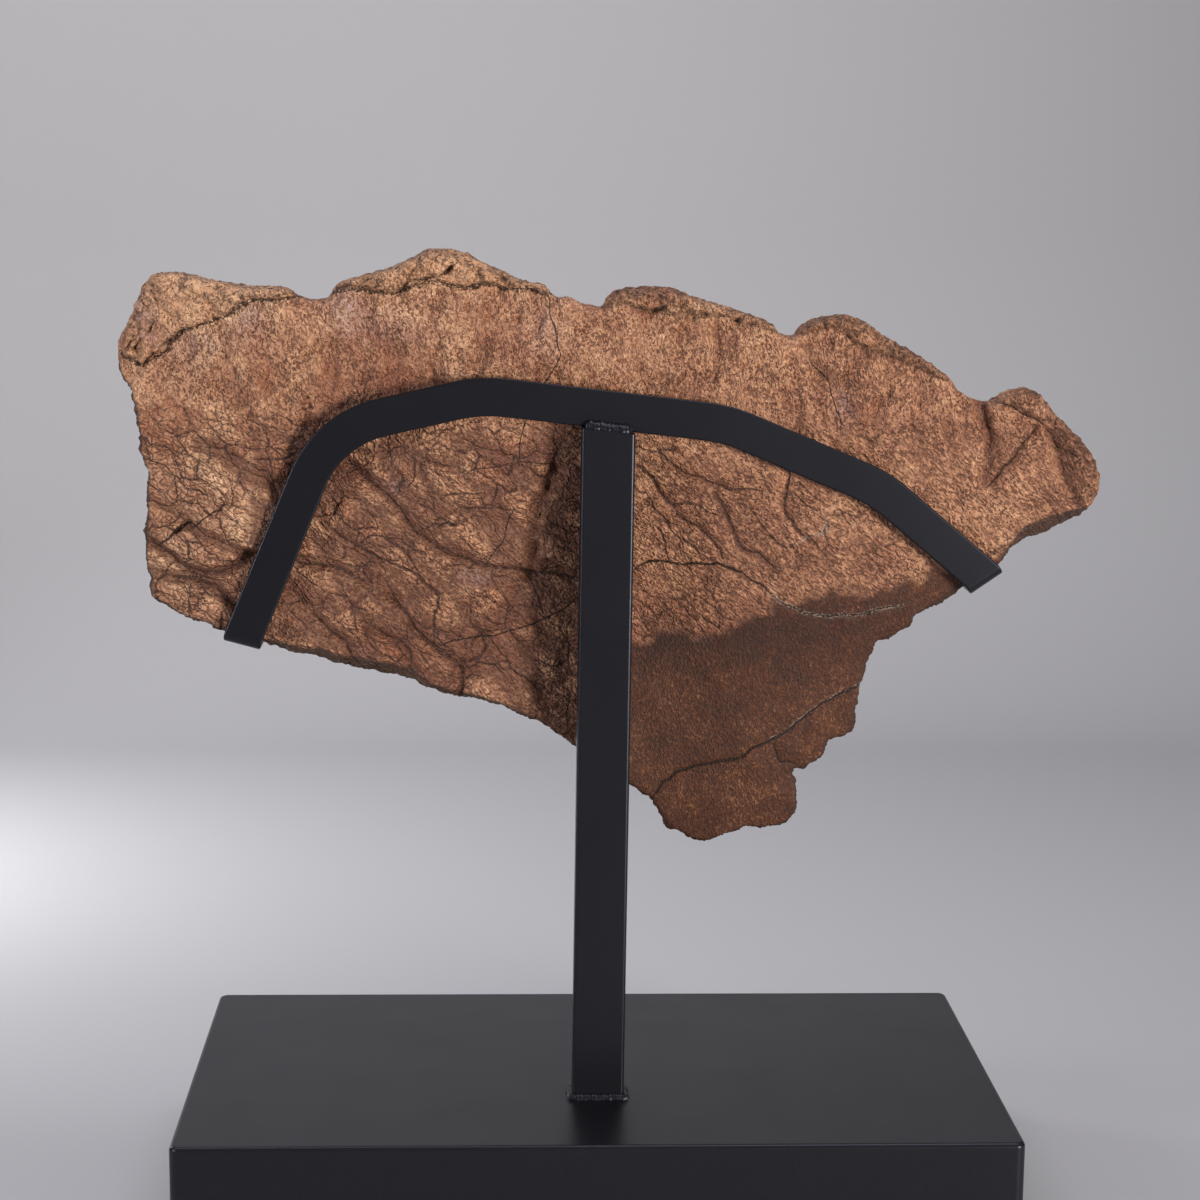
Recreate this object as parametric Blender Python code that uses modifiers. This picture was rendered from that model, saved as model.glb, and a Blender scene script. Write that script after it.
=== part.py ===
"""Marginal piece of a horned dinosaur's bony frill, held on a welded steel display stand.

Frame: metres, +Z up. The origin is on the floor, in the middle of the whole object's footprint.
The stand shows its post and strap on the -Y side. The bone stands behind them, on the +Y side,
hollow side towards the strap, and its weight rests in the strap's two hooks.
Outlines that follow the bone or the strap are lists of (x, z) points in millimetres.
"""

import math

import bmesh
import bpy
import numpy as np
from mathutils import Matrix, Vector, noise

MM = 0.001
FIT_GAP = 0.0003  # between pieces that touch

# Base: one folded and welded steel sheet, open underneath
BASE_WIDTH = 0.600
BASE_DEPTH = 0.336
BASE_HEIGHT = 0.100
BASE_CENTRE_X = -0.010
BASE_SHEET = 0.003
BASE_CORNER_RADIUS = 0.007
BASE_FOLD_RADIUS = 0.0035

# Post: rectangular steel tube, its top end cut along the strap's lower edge and closed
POST_WIDTH = 0.038
POST_DEPTH = 0.019
POST_WALL = 0.002
POST_EDGE_RADIUS = 0.0025
POST_FOOT_X = -0.0082
POST_FRONT_Y = -0.0755
POST_LEAN_DEG = 0.35
STAND_BACK_Y = POST_FRONT_Y + POST_DEPTH  # the strap's back is flush with the post's back

# Strap: flat steel bar bent on edge into an arch, each end folded back into a hook
STRAP_WIDTH = 0.0272
STRAP_THICKNESS = 0.0048
STRAP_EDGE_RADIUS = 0.0006
STRAP_CORNERS = ((-202.5, 589.3), (-94.8, 614.3), (79.1, 595.0), (189.6, 549.3))
STRAP_BEND_RADII = (75, 110, 110, 100)
STRAP_BEND_STEP_DEG = 7
LEFT_LEG_DIRECTION = (-0.380, -0.925)
RIGHT_LEG_DIRECTION = (0.765, -0.644)
LEG_LENGTH = 100
HOOK_INNER_RADIUS = 0.002
HOOK_DEPTH = 0.0225  # inside length of the hook's floor, from the strap to the lip
HOOK_LIP_HEIGHT = 0.016
LEFT_HOOK_SEAT = (-266.5, 439.2)  # a point on the hook's floor
LEFT_HOOK_FOLD = (0.966, -0.259)  # direction of the fold line
RIGHT_HOOK_SEAT = (266.8, 484.6)
RIGHT_HOOK_FOLD = (-0.819, -0.574)

TOP_WELD_RADIUS = 0.0065
TOP_WELD_STEPS = 12
FOOT_WELD_RADIUS = 0.0042
FOOT_WELD_STEP = 0.004
WELD_RIPPLE = 0.07  # share by which a bead thickens and thins along its run
WELD_RIPPLE_TURN = 2.4

# Bone: outline, going clockwise from its left end, seen from the stand's side.
# The natural margin carries five marginal bones, and the rest of the rim is broken.
MARGIN = (
    (-351, 633), (-352, 645), (-350, 652), (-340, 670), (-334, 684), (-326, 695), (-314, 697),
    (-301, 696), (-284, 692), (-256, 688), (-236, 688), (-225, 682), (-215, 679), (-202, 681),
    (-193, 692), (-165, 700), (-147, 707), (-133, 715), (-126, 716), (-114, 715), (-100, 709),
    (-81, 700), (-65, 693), (-51, 691), (-41, 682), (-27, 679), (-10, 676), (-6, 682), (3, 688),
    (19, 690), (40, 689), (55, 683), (73, 678), (96, 671), (112, 664), (117, 658), (127, 656),
    (132, 663), (144, 669), (162, 671), (177, 667), (191, 657), (208, 648), (223, 639),
    (240, 627), (245, 619), (257, 612), (270, 610), (280, 617), (295, 620), (306, 614),
    (317, 601), (333, 586), (344, 572), (350, 553), (347, 541), (339, 531),
)
BROKEN_RIM = (
    (333, 528), (328, 524), (310, 515), (300, 513), (286, 503), (281, 493), (254, 474), (238, 464),
    (221, 455), (218, 448), (204, 438), (193, 434), (191, 426), (187, 419), (184, 403), (182, 390),
    (180, 381), (181, 372), (176, 363), (161, 357), (158, 346), (150, 340), (137, 336), (139, 324),
    (140, 309), (139, 299), (131, 292), (108, 289), (93, 286), (74, 279), (64, 280), (55, 285),
    (44, 291), (39, 299), (32, 312), (21, 320), (16, 324), (0, 338), (-25, 354), (-37, 363),
    (-50, 372), (-70, 381), (-82, 387), (-103, 393), (-130, 399), (-149, 408), (-175, 413),
    (-213, 424), (-251, 434), (-282, 443), (-306, 453), (-320, 461), (-331, 468), (-331, 480),
    (-334, 488), (-334, 516), (-333, 542), (-331, 555), (-336, 569), (-337, 585), (-343, 616), (-350, 627),
)

# Lower edge of each marginal bone, where it is fused to the frill, and a point beyond its crest
MARGINAL_BONES = (
    (((-223, 682), (-256, 680), (-274, 669), (-295, 661), (-314, 651), (-319, 641), (-334, 633),
      (-347, 639)), (-330, 740)),
    (((-198, 685), (-177, 689), (-155, 685), (-134, 693), (-106, 689), (-78, 689), (-47, 684)),
     (-120, 760)),
    (((-9, 676), (12, 678), (33, 674), (56, 671), (77, 671), (97, 665), (115, 660)), (60, 740)),
    (((128, 659), (149, 663), (163, 661), (175, 650), (195, 644), (214, 636), (235, 626)),
     (220, 720)),
    (((267, 612), (283, 608), (305, 597), (318, 580), (326, 553), (339, 533)), (400, 640)),
)
MARGINAL_BONE_CENTRES = ((-312, 672), (-125, 700), (40, 680), (165, 662), (300, 605))

# Furrows in the hollow face: points, half width and depth in millimetres
FURROWS = (
    (((69, 665), (73, 652), (80, 627)), 6, 1.6),
    (((135, 650), (153, 625), (169, 605), (183, 580)), 7, 2.2),
    (((254, 614), (264, 599), (268, 586), (269, 562)), 6, 2.6),
    (((298, 586), (285, 576), (272, 558)), 5, 1.6),
    (((-333, 541), (-312, 527), (-286, 514), (-256, 498)), 5, 2.0),
    (((-332, 503), (-314, 492), (-298, 483), (-274, 459)), 6, 2.4),
    (((-298, 486), (-278, 490), (-260, 495)), 4, 1.4),
    (((-231, 486), (-221, 463), (-209, 446), (-189, 436)), 5, 1.8),
    (((-159, 543), (-148, 519), (-135, 506), (-96, 489)), 5, 1.6),
)

# Blood vessel channels in the far face
FAR_FURROWS = (
    (((-300, 640), (-240, 600), (-170, 530), (-110, 440)), 7, 2.6),
    (((-110, 690), (-100, 620), (-60, 540), (-20, 450)), 7, 2.8),
    (((40, 670), (35, 600), (50, 520), (60, 430)), 8, 2.6),
    (((180, 645), (150, 580), (120, 510), (95, 400)), 7, 2.6),
    (((300, 590), (240, 560), (180, 510), (140, 450)), 6, 2.2),
    (((-170, 530), (-190, 480), (-230, 445)), 5, 1.8),
    (((50, 520), (10, 480), (0, 420)), 5, 1.8),
)

# Hollow face, by how far it lies behind the strap's back. A dip is centre, radii and depth.
FACE_CLEARANCE = 2.3
MIDDLE_DIP = ((-20, 450), (150, 85), 20)
LEFT_DIP = ((-185, 600), (55, 40), 10)
FLANK_START = (15.6, 435.2)  # the broken flank turns back below a line through this point
FLANK_DOWNHILL = (0.274, -0.962)
FLANK_SLOPE = 0.22
FLANK_SOFTNESS = 10
LEFT_TURN_X = -270  # the left end turns back a little beyond this
LEFT_TURN_SLOPE = 0.10
LEFT_TURN_SOFTNESS = 12

BONE_THICKNESS = 21.0
MARGIN_EXTRA = 9.0  # extra thickness near the natural margin
MARGIN_REACH = 55.0
TIP_LOSS = 6.0  # thickness lost towards the broken lower tip
TIP_START = (-20, 470)
TIP_REACH = (60, 150)

MARGINAL_STEP = 2.6  # height of a marginal bone above the frill's face at its suture
MARGINAL_STEP_WIDTH = 3.0
MARGINAL_CROWN = 4.0
MARGINAL_CROWN_RADII = (55, 26)

# Rounding of the rims: radius, and the share of the thickness that is left at the rim
MARGIN_ROUNDING = (15, 0.35)
BREAK_ROUNDING = (5, 0.82)

# Unevenness of the two faces: seed, size of the swells, and height
HOLLOW_SWELLS = (1, 45, 0.9)
FAR_SWELLS = (9, 60, 2.0)

SLAB_HALF = 12.0  # half thickness of the flat slab that the bone is shaped from
VOXEL = 0.0035
BONE_TRIANGLES = 7200


# --- Scene helpers ---


def clear_scene():
    for obj in list(bpy.data.objects):
        bpy.data.objects.remove(obj, do_unlink=True)


def make_collection(name):
    collection = bpy.data.collections.new(name)
    bpy.context.scene.collection.children.link(collection)
    return collection


def make_material(name, colour, roughness, metallic):
    material = bpy.data.materials.new(name)
    material.use_nodes = True
    shader = material.node_tree.nodes["Principled BSDF"]
    shader.inputs["Base Color"].default_value = (*colour, 1)
    shader.inputs["Roughness"].default_value = roughness
    shader.inputs["Metallic"].default_value = metallic
    return material


def make_object(name, mesh, collection, material=None):
    obj = bpy.data.objects.new(name, mesh)
    collection.objects.link(obj)
    if material:
        mesh.materials.append(material)
    return obj


def finish_bmesh(bm, name):
    bmesh.ops.recalc_face_normals(bm, faces=bm.faces)
    mesh = bpy.data.meshes.new(name)
    bm.to_mesh(mesh)
    bm.free()
    return mesh


def mesh_of(obj):
    """The object's shape with its modifiers applied, its loose caps welded, and the object removed."""
    depsgraph = bpy.context.evaluated_depsgraph_get()
    mesh = bpy.data.meshes.new_from_object(obj.evaluated_get(depsgraph))
    mesh.transform(obj.matrix_world)
    bm = bmesh.new()
    bm.from_mesh(mesh)
    bmesh.ops.remove_doubles(bm, verts=bm.verts, dist=0.00001)
    bm.to_mesh(mesh)
    bm.free()
    bpy.data.objects.remove(obj, do_unlink=True)
    return mesh


def make_cutter(name, mesh, collection):
    cutter = make_object(name, mesh, collection)
    cutter.hide_render = True
    cutter.display_type = "WIRE"
    return cutter


def subtract(obj, cutter):
    modifier = obj.modifiers.new(cutter.name, "BOOLEAN")
    modifier.operation = "DIFFERENCE"
    modifier.solver = "EXACT"
    modifier.object = cutter


# --- Stand ---


def box_with_round_corners(size, corner_radius, segments):
    """A box standing on z = 0, its four upright edges rounded."""
    bm = bmesh.new()
    place = Matrix.Translation((0, 0, size[2] / 2)) @ Matrix.Diagonal((*size, 1))
    bmesh.ops.create_cube(bm, size=1, matrix=place)
    upright = [e for e in bm.edges if abs(e.verts[0].co.z - e.verts[1].co.z) > size[2] / 2]
    bmesh.ops.bevel(bm, geom=upright, offset=corner_radius, segments=segments, profile=0.5,
                    affect="EDGES", material=-1)
    return bm


def make_base(collection, steel):
    bm = box_with_round_corners((BASE_WIDTH, BASE_DEPTH, BASE_HEIGHT), BASE_CORNER_RADIUS, 4)
    top_edges = [
        e
        for e in bm.edges
        if all(v.co.z > BASE_HEIGHT - 0.001 for v in e.verts) and len(e.link_faces) == 2
        and any(abs(f.normal.z) < 0.5 for f in e.link_faces)
    ]
    bmesh.ops.bevel(bm, geom=top_edges, offset=BASE_FOLD_RADIUS, segments=3, profile=0.5,
                    affect="EDGES", material=-1)
    underside = [f for f in bm.faces if f.normal.z < -0.9]
    bmesh.ops.delete(bm, geom=underside, context="FACES")
    base = make_object("base", finish_bmesh(bm, "base"), collection, steel)
    base.location = (BASE_CENTRE_X, 0, 0)
    sheet = base.modifiers.new("sheet", "SOLIDIFY")
    sheet.thickness = BASE_SHEET
    sheet.offset = -1
    sheet.use_even_offset = True


def strap_lower_edge(x):
    """Height of the strap's lower edge over the post, and its slope, at x in metres."""
    (x0, z0), (x1, z1) = (Vector(p) * MM for p in STRAP_CORNERS[1:3])
    slope = (z1 - z0) / (x1 - x0)
    middle = z0 + slope * (x - x0)
    return middle - STRAP_WIDTH / 2 * math.hypot(1, slope), slope


def post_matrix():
    foot = Vector((POST_FOOT_X, POST_FRONT_Y + POST_DEPTH / 2, BASE_HEIGHT + FIT_GAP))
    return Matrix.Translation(foot) @ Matrix.Rotation(math.radians(POST_LEAN_DEG), 4, "Y")


def post_blank(grow, height):
    size = (POST_WIDTH + 2 * grow, POST_DEPTH + 2 * grow, height)
    return box_with_round_corners(size, POST_EDGE_RADIUS + grow, 3)


def make_post(collection, cutters, steel):
    place = post_matrix()
    height, slope = strap_lower_edge(POST_FOOT_X)
    bm = post_blank(0, height - BASE_HEIGHT + POST_WIDTH)
    top_point = Vector((POST_FOOT_X, 0, height - FIT_GAP))
    top_normal = place.to_3x3().inverted() @ Vector((-slope, 0, 1)).normalized()
    cut = bmesh.ops.bisect_plane(
        bm, geom=bm.verts[:] + bm.edges[:] + bm.faces[:],
        plane_co=place.inverted() @ top_point, plane_no=top_normal, clear_outer=True,
    )
    rim = [e for e in cut["geom_cut"] if isinstance(e, bmesh.types.BMEdge)]
    bmesh.ops.contextual_create(bm, geom=rim)
    post = make_object("post", finish_bmesh(bm, "post"), collection, steel)
    post.matrix_world = place
    bore_height = height - BASE_HEIGHT - 2 * POST_WALL - POST_WIDTH * abs(slope)
    bore_mesh = finish_bmesh(post_blank(-POST_WALL, bore_height), "post_bore")
    bore = make_cutter("post_bore", bore_mesh, cutters)
    bore.matrix_world = place @ Matrix.Translation((0, 0, -POST_WALL))
    subtract(post, bore)


def arch_sections(half_width, half_thickness):
    """Sections of the flat arch between its legs: centre, half width and half thickness vectors."""
    first = Vector(STRAP_CORNERS[0]) + LEG_LENGTH * Vector(LEFT_LEG_DIRECTION)
    last = Vector(STRAP_CORNERS[-1]) + LEG_LENGTH * Vector(RIGHT_LEG_DIRECTION)
    corners = [first, *(Vector(c) for c in STRAP_CORNERS), last]
    middle_y = STAND_BACK_Y - STRAP_THICKNESS / 2
    sections = []
    for before, corner, after, radius in zip(corners, corners[1:], corners[2:], STRAP_BEND_RADII):
        into = (corner - before).normalized()
        out = (after - corner).normalized()
        turn = math.atan2(into.x * out.y - into.y * out.x, into.dot(out))
        start = corner - into * radius * math.tan(abs(turn) / 2)
        centre = start + Vector((-into.y, into.x)) * math.copysign(radius, turn)
        steps = max(2, round(math.degrees(abs(turn)) / STRAP_BEND_STEP_DEG))
        for step in range(steps + 1):
            spin = Matrix.Rotation(turn * step / steps, 2)
            point = (centre + spin @ (start - centre)) * MM
            along = spin @ into
            sections.append((
                Vector((point.x, middle_y, point.y)),
                Vector((-along.y, 0, along.x)) * half_width,
                Vector((0, half_thickness, 0)),
            ))
    return sections


def hook_sections(seat, fold, leg, leg_point, half_width, half_thickness, fit_gap):
    """Sections of one hook, from its fold at the leg's end to the tip of its lip."""
    across = Vector((fold[0], 0, fold[1])).normalized()
    leg = Vector((leg[0], 0, leg[1])).normalized()
    outward = Vector((-across.z, 0, across.x))
    if outward.dot(leg) < 0:
        outward.negate()
    seat = Vector((seat[0] * MM, 0, seat[1] * MM))
    leg_point = Vector((leg_point[0] * MM, 0, leg_point[1] * MM))
    reach = (seat - leg_point).dot(outward) / leg.dot(outward)
    foot = leg_point + leg * reach
    side = Vector((-leg.z, 0, leg.x))
    half_across = across * half_width / across.dot(side)
    middle_radius = HOOK_INNER_RADIUS + STRAP_THICKNESS / 2
    middle_y = STAND_BACK_Y - STRAP_THICKNESS / 2
    lip_y = STAND_BACK_Y + HOOK_DEPTH - HOOK_INNER_RADIUS
    profile = []
    for step in range(5):
        angle = math.radians(90) * step / 4
        profile.append((
            -HOOK_INNER_RADIUS + middle_radius * math.sin(angle),
            middle_y + middle_radius * (1 - math.cos(angle)),
            angle,
        ))
    for step in range(5):
        angle = math.radians(90) * step / 4
        profile.append((
            -HOOK_INNER_RADIUS + middle_radius * math.cos(angle),
            lip_y + middle_radius * math.sin(angle),
            math.radians(90) + angle,
        ))
    profile.append((-HOOK_LIP_HEIGHT - fit_gap, profile[-1][1], math.radians(180)))
    return [
        (
            foot + outward * drop + Vector((0, y, 0)),
            half_across,
            Vector((0, math.cos(angle), 0)) * half_thickness - outward * math.sin(angle) * half_thickness,
        )
        for drop, y, angle in profile
    ]


def strap_mesh(name, grow):
    """A flat bar swept along hook, leg, arch, leg and hook, larger by grow on every side."""
    half_width = STRAP_WIDTH / 2 + grow
    half_thickness = STRAP_THICKNESS / 2 + grow
    left = hook_sections(LEFT_HOOK_SEAT, LEFT_HOOK_FOLD, LEFT_LEG_DIRECTION, STRAP_CORNERS[0],
                         half_width, half_thickness, grow)
    right = hook_sections(RIGHT_HOOK_SEAT, RIGHT_HOOK_FOLD, RIGHT_LEG_DIRECTION, STRAP_CORNERS[-1],
                          half_width, half_thickness, grow)
    left = [(centre, -across, through) for centre, across, through in reversed(left)]
    sections = left + arch_sections(half_width, half_thickness) + right
    bm = bmesh.new()
    loops = [
        [
            bm.verts.new(centre + across * u + through * v)
            for u, v in ((-1, -1), (1, -1), (1, 1), (-1, 1))
        ]
        for centre, across, through in sections
    ]
    bm.faces.new(loops[0])
    bm.faces.new(reversed(loops[-1]))
    for near, far in zip(loops, loops[1:]):
        for i in range(4):
            bm.faces.new((near[i], far[i], far[i - 3], near[i - 3]))
    return finish_bmesh(bm, name)


def make_strap(collection, steel):
    strap = make_object("cradle_strap", strap_mesh("cradle_strap", 0), collection, steel)
    edge = strap.modifiers.new("edge", "BEVEL")
    edge.width = STRAP_EDGE_RADIUS
    edge.segments = 1
    edge.limit_method = "ANGLE"
    edge.angle_limit = math.radians(40)


def weld_bead(name, points, radius, closed):
    """A round bead along points, a little thicker and thinner along its run, as a mesh."""
    curve = bpy.data.curves.new(name, "CURVE")
    curve.dimensions = "3D"
    curve.bevel_depth = radius
    curve.bevel_resolution = 2
    curve.use_fill_caps = True
    spline = curve.splines.new("POLY")
    spline.points.add(len(points) - 1)
    spline.use_cyclic_u = closed
    for i, (target, point) in enumerate(zip(spline.points, points)):
        target.co = (*point, 1)
        target.radius = 1 + WELD_RIPPLE * math.sin(WELD_RIPPLE_TURN * i)
    bead = bpy.data.objects.new(name, curve)
    bpy.context.scene.collection.objects.link(bead)
    return mesh_of(bead)


def keep_beyond(mesh, point, normal):
    """Cuts the mesh along a plane, keeps what lies on the normal's side, and closes the cut."""
    bm = bmesh.new()
    bm.from_mesh(mesh)
    cut = bmesh.ops.bisect_plane(
        bm, geom=bm.verts[:] + bm.edges[:] + bm.faces[:],
        plane_co=point, plane_no=normal, clear_inner=True,
    )
    edges = [e for e in cut["geom_cut"] if isinstance(e, bmesh.types.BMEdge)]
    bmesh.ops.edgeloop_fill(bm, edges=edges)
    bmesh.ops.recalc_face_normals(bm, faces=bm.faces)
    bm.to_mesh(mesh)
    bm.free()


def make_top_weld(collection, steel):
    """Fillet weld on the post's top end, in front of the strap."""
    front_y = STAND_BACK_Y - STRAP_THICKNESS
    lean = math.sin(math.radians(POST_LEAN_DEG))
    centre_x = POST_FOOT_X + lean * (strap_lower_edge(POST_FOOT_X)[0] - BASE_HEIGHT)
    points = []
    for i in range(TOP_WELD_STEPS + 1):
        x = centre_x + POST_WIDTH * (i / TOP_WELD_STEPS - 0.5)
        points.append((x, front_y, strap_lower_edge(x)[0]))
    mesh = weld_bead("top_weld", points, TOP_WELD_RADIUS, False)
    height, slope = strap_lower_edge(centre_x)
    keep_beyond(mesh, (centre_x, front_y - FIT_GAP, 0), (0, -1, 0))
    keep_beyond(mesh, (centre_x, 0, height + FIT_GAP / 2), (-slope, 0, 1))
    make_object("top_weld", mesh, collection, steel)


def make_foot_weld(collection, cutters, steel):
    """Bead all round the post's foot, on the base's top."""
    points = []
    half = Vector((POST_WIDTH / 2, POST_DEPTH / 2, 0))
    corners = [Vector((half.x * u, half.y * v, 0)) for u, v in ((-1, -1), (1, -1), (1, 1), (-1, 1))]
    for start, end in zip(corners, corners[1:] + corners[:1]):
        steps = max(3, round((end - start).length / FOOT_WELD_STEP))
        points += [start.lerp(end, i / steps) for i in range(steps)]
    foot = Vector((POST_FOOT_X, POST_FRONT_Y + POST_DEPTH / 2, BASE_HEIGHT))
    mesh = weld_bead("foot_weld", [foot + p for p in points], FOOT_WELD_RADIUS, True)
    keep_beyond(mesh, foot + Vector((0, 0, FIT_GAP)), (0, 0, 1))
    weld = make_object("foot_weld", mesh, collection, steel)
    hole_mesh = finish_bmesh(post_blank(FIT_GAP, 4 * FOOT_WELD_RADIUS), "foot_weld_hole")
    hole = make_cutter("foot_weld_hole", hole_mesh, cutters)
    hole.matrix_world = post_matrix() @ Matrix.Translation((0, 0, -2 * FOOT_WELD_RADIUS))
    subtract(weld, hole)


# --- Bone: every length in this part is in millimetres until the mesh is written ---


def distance_to(points, x, z):
    """Distance of each place from an open line through points."""
    nearest = np.full(len(x), 1e9)
    for (x0, z0), (x1, z1) in zip(points, points[1:]):
        dx, dz = x1 - x0, z1 - z0
        along = np.clip(((x - x0) * dx + (z - z0) * dz) / (dx * dx + dz * dz), 0, 1)
        nearest = np.minimum(nearest, np.hypot(x - x0 - along * dx, z - z0 - along * dz))
    return nearest


def inside(points, x, z):
    """Which places lie inside a closed line through points."""
    found = np.zeros(len(x), bool)
    for (x0, z0), (x1, z1) in zip(points, points[1:] + points[:1]):
        if z0 != z1:
            found ^= ((z0 > z) != (z1 > z)) & (x < x0 + (z - z0) * (x1 - x0) / (z1 - z0))
    return found


def hump(x, z, centre, radii, height):
    return height * np.exp(-(((x - centre[0]) / radii[0]) ** 2) - ((z - centre[1]) / radii[1]) ** 2)


def ramp(distance, softness):
    """Zero below 0, then rising one for one, with a soft start."""
    return softness * np.logaddexp(0, distance / softness)


def hollow(x, z):
    """How far the hollow face lies behind the strap's back."""
    downhill = (x - FLANK_START[0]) * FLANK_DOWNHILL[0] + (z - FLANK_START[1]) * FLANK_DOWNHILL[1]
    broken_flank = FLANK_SLOPE * ramp(downhill, FLANK_SOFTNESS)
    left_turn = LEFT_TURN_SLOPE * ramp(LEFT_TURN_X - x, LEFT_TURN_SOFTNESS)
    return FACE_CLEARANCE + hump(x, z, *MIDDLE_DIP) + hump(x, z, *LEFT_DIP) + broken_flank + left_turn


def thickness(x, z, to_margin):
    near_margin = MARGIN_EXTRA * np.exp(-((to_margin / MARGIN_REACH) ** 2))
    inward = np.clip((x - TIP_START[0]) / TIP_REACH[0], 0, 1)
    down = np.clip((TIP_START[1] - z) / TIP_REACH[1], 0, 1)
    return BONE_THICKNESS + near_margin - TIP_LOSS * inward * down


def marginal_relief(x, z):
    """Height of the marginal bones above the frill's face."""
    relief = np.zeros(len(x))
    for (suture, beyond), centre in zip(MARGINAL_BONES, MARGINAL_BONE_CENTRES):
        above = inside(list(suture) + [beyond], x, z)
        step = 1 - np.exp(-distance_to(suture, x, z) / MARGINAL_STEP_WIDTH)
        crown = MARGINAL_STEP + hump(x, z, centre, MARGINAL_CROWN_RADII, MARGINAL_CROWN)
        relief = np.where(above, crown * step, relief)
    return relief


def furrow_depth(furrows, x, z):
    total = np.zeros(len(x))
    for points, width, depth in furrows:
        total += depth * np.exp(-((distance_to(points, x, z) / width) ** 2))
    return total


def rounding(distance, radius, rim):
    """Share of the full thickness left at a distance from the rim."""
    near = 1 - np.clip(distance / radius, 0, 1)
    return rim + (1 - rim) * np.sqrt(1 - near * near)


def unevenness(x, z, seed, size, height):
    places = zip((x / size).tolist(), (z / size).tolist())
    return height * np.array([noise.fractal((a, b, seed), 1.0, 2.0, 3) for a, b in places])


def shape_bone(slab):
    """Turns slab coordinates, in millimetres, into the bone's own."""
    x, through, z = slab[:, 0], slab[:, 1] / SLAB_HALF, slab[:, 2]
    to_margin = distance_to(MARGIN, x, z)
    to_break = distance_to(MARGIN[-1:] + BROKEN_RIM + MARGIN[:1], x, z)
    hollow_y = STAND_BACK_Y / MM + hollow(x, z)
    far_y = hollow_y + thickness(x, z, to_margin)
    relief = marginal_relief(x, z)
    hollow_y += furrow_depth(FURROWS, x, z) - relief + unevenness(x, z, *HOLLOW_SWELLS)
    far_y += relief - furrow_depth(FAR_FURROWS, x, z) + unevenness(x, z, *FAR_SWELLS)
    share = np.minimum(rounding(to_margin, *MARGIN_ROUNDING), rounding(to_break, *BREAK_ROUNDING))
    middle, half = (hollow_y + far_y) / 2, (far_y - hollow_y) / 2 * share
    return np.stack([x, middle + through * half, z], axis=1)


def bone_slab():
    """The outline as a flat slab of small even faces."""
    curve = bpy.data.curves.new("outline", "CURVE")
    curve.dimensions = "2D"
    curve.fill_mode = "BOTH"
    curve.extrude = SLAB_HALF * MM
    spline = curve.splines.new("POLY")
    outline = MARGIN + BROKEN_RIM
    spline.points.add(len(outline) - 1)
    spline.use_cyclic_u = True
    for target, (x, z) in zip(spline.points, outline):
        target.co = (x * MM, z * MM, 0, 1)
    obj = bpy.data.objects.new("outline", curve)
    bpy.context.scene.collection.objects.link(obj)
    obj.matrix_world = Matrix.Rotation(math.radians(90), 4, "X")
    bpy.context.view_layer.update()
    slab = bpy.data.objects.new("slab", mesh_of(obj))
    bpy.context.scene.collection.objects.link(slab)
    remesh = slab.modifiers.new("remesh", "REMESH")
    remesh.mode = "VOXEL"
    remesh.voxel_size = VOXEL
    return mesh_of(slab)


def make_bone(collection, cutters, bone_material):
    mesh = bone_slab()
    slab = np.empty(len(mesh.vertices) * 3)
    mesh.vertices.foreach_get("co", slab)
    shaped = shape_bone(slab.reshape(-1, 3) / MM) * MM
    mesh.vertices.foreach_set("co", shaped.ravel())
    mesh.update()
    mesh.name = "frill_bone"
    bone = make_object("frill_bone", mesh, collection, bone_material)
    mesh.shade_smooth()
    thin_out = bone.modifiers.new("thin_out", "DECIMATE")
    thin_out.ratio = BONE_TRIANGLES / (2 * len(mesh.polygons))
    seat = make_cutter("strap_clearance", strap_mesh("strap_clearance", FIT_GAP), cutters)
    subtract(bone, seat)


def main():
    clear_scene()
    parts = make_collection("fossil_frill_bone")
    cutters = make_collection("cutters")
    steel = make_material("powder_coated_steel", (0.022, 0.022, 0.025), 0.42, 0.0)
    bone = make_material("fossil_bone", (0.34, 0.17, 0.09), 0.75, 0.0)
    make_base(parts, steel)
    make_post(parts, cutters, steel)
    make_strap(parts, steel)
    make_top_weld(parts, steel)
    make_foot_weld(parts, cutters, steel)
    make_bone(parts, cutters, bone)


main()
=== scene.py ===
"""A fossil frill bone on its welded steel stand: the fine shape and finish of every piece.

Metres, +Z up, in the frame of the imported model. The post and the strap show on the -Y side.
"""

import math
from functools import partial

import bmesh
import bpy
import numpy as np
from mathutils import Matrix, Vector, noise


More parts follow.
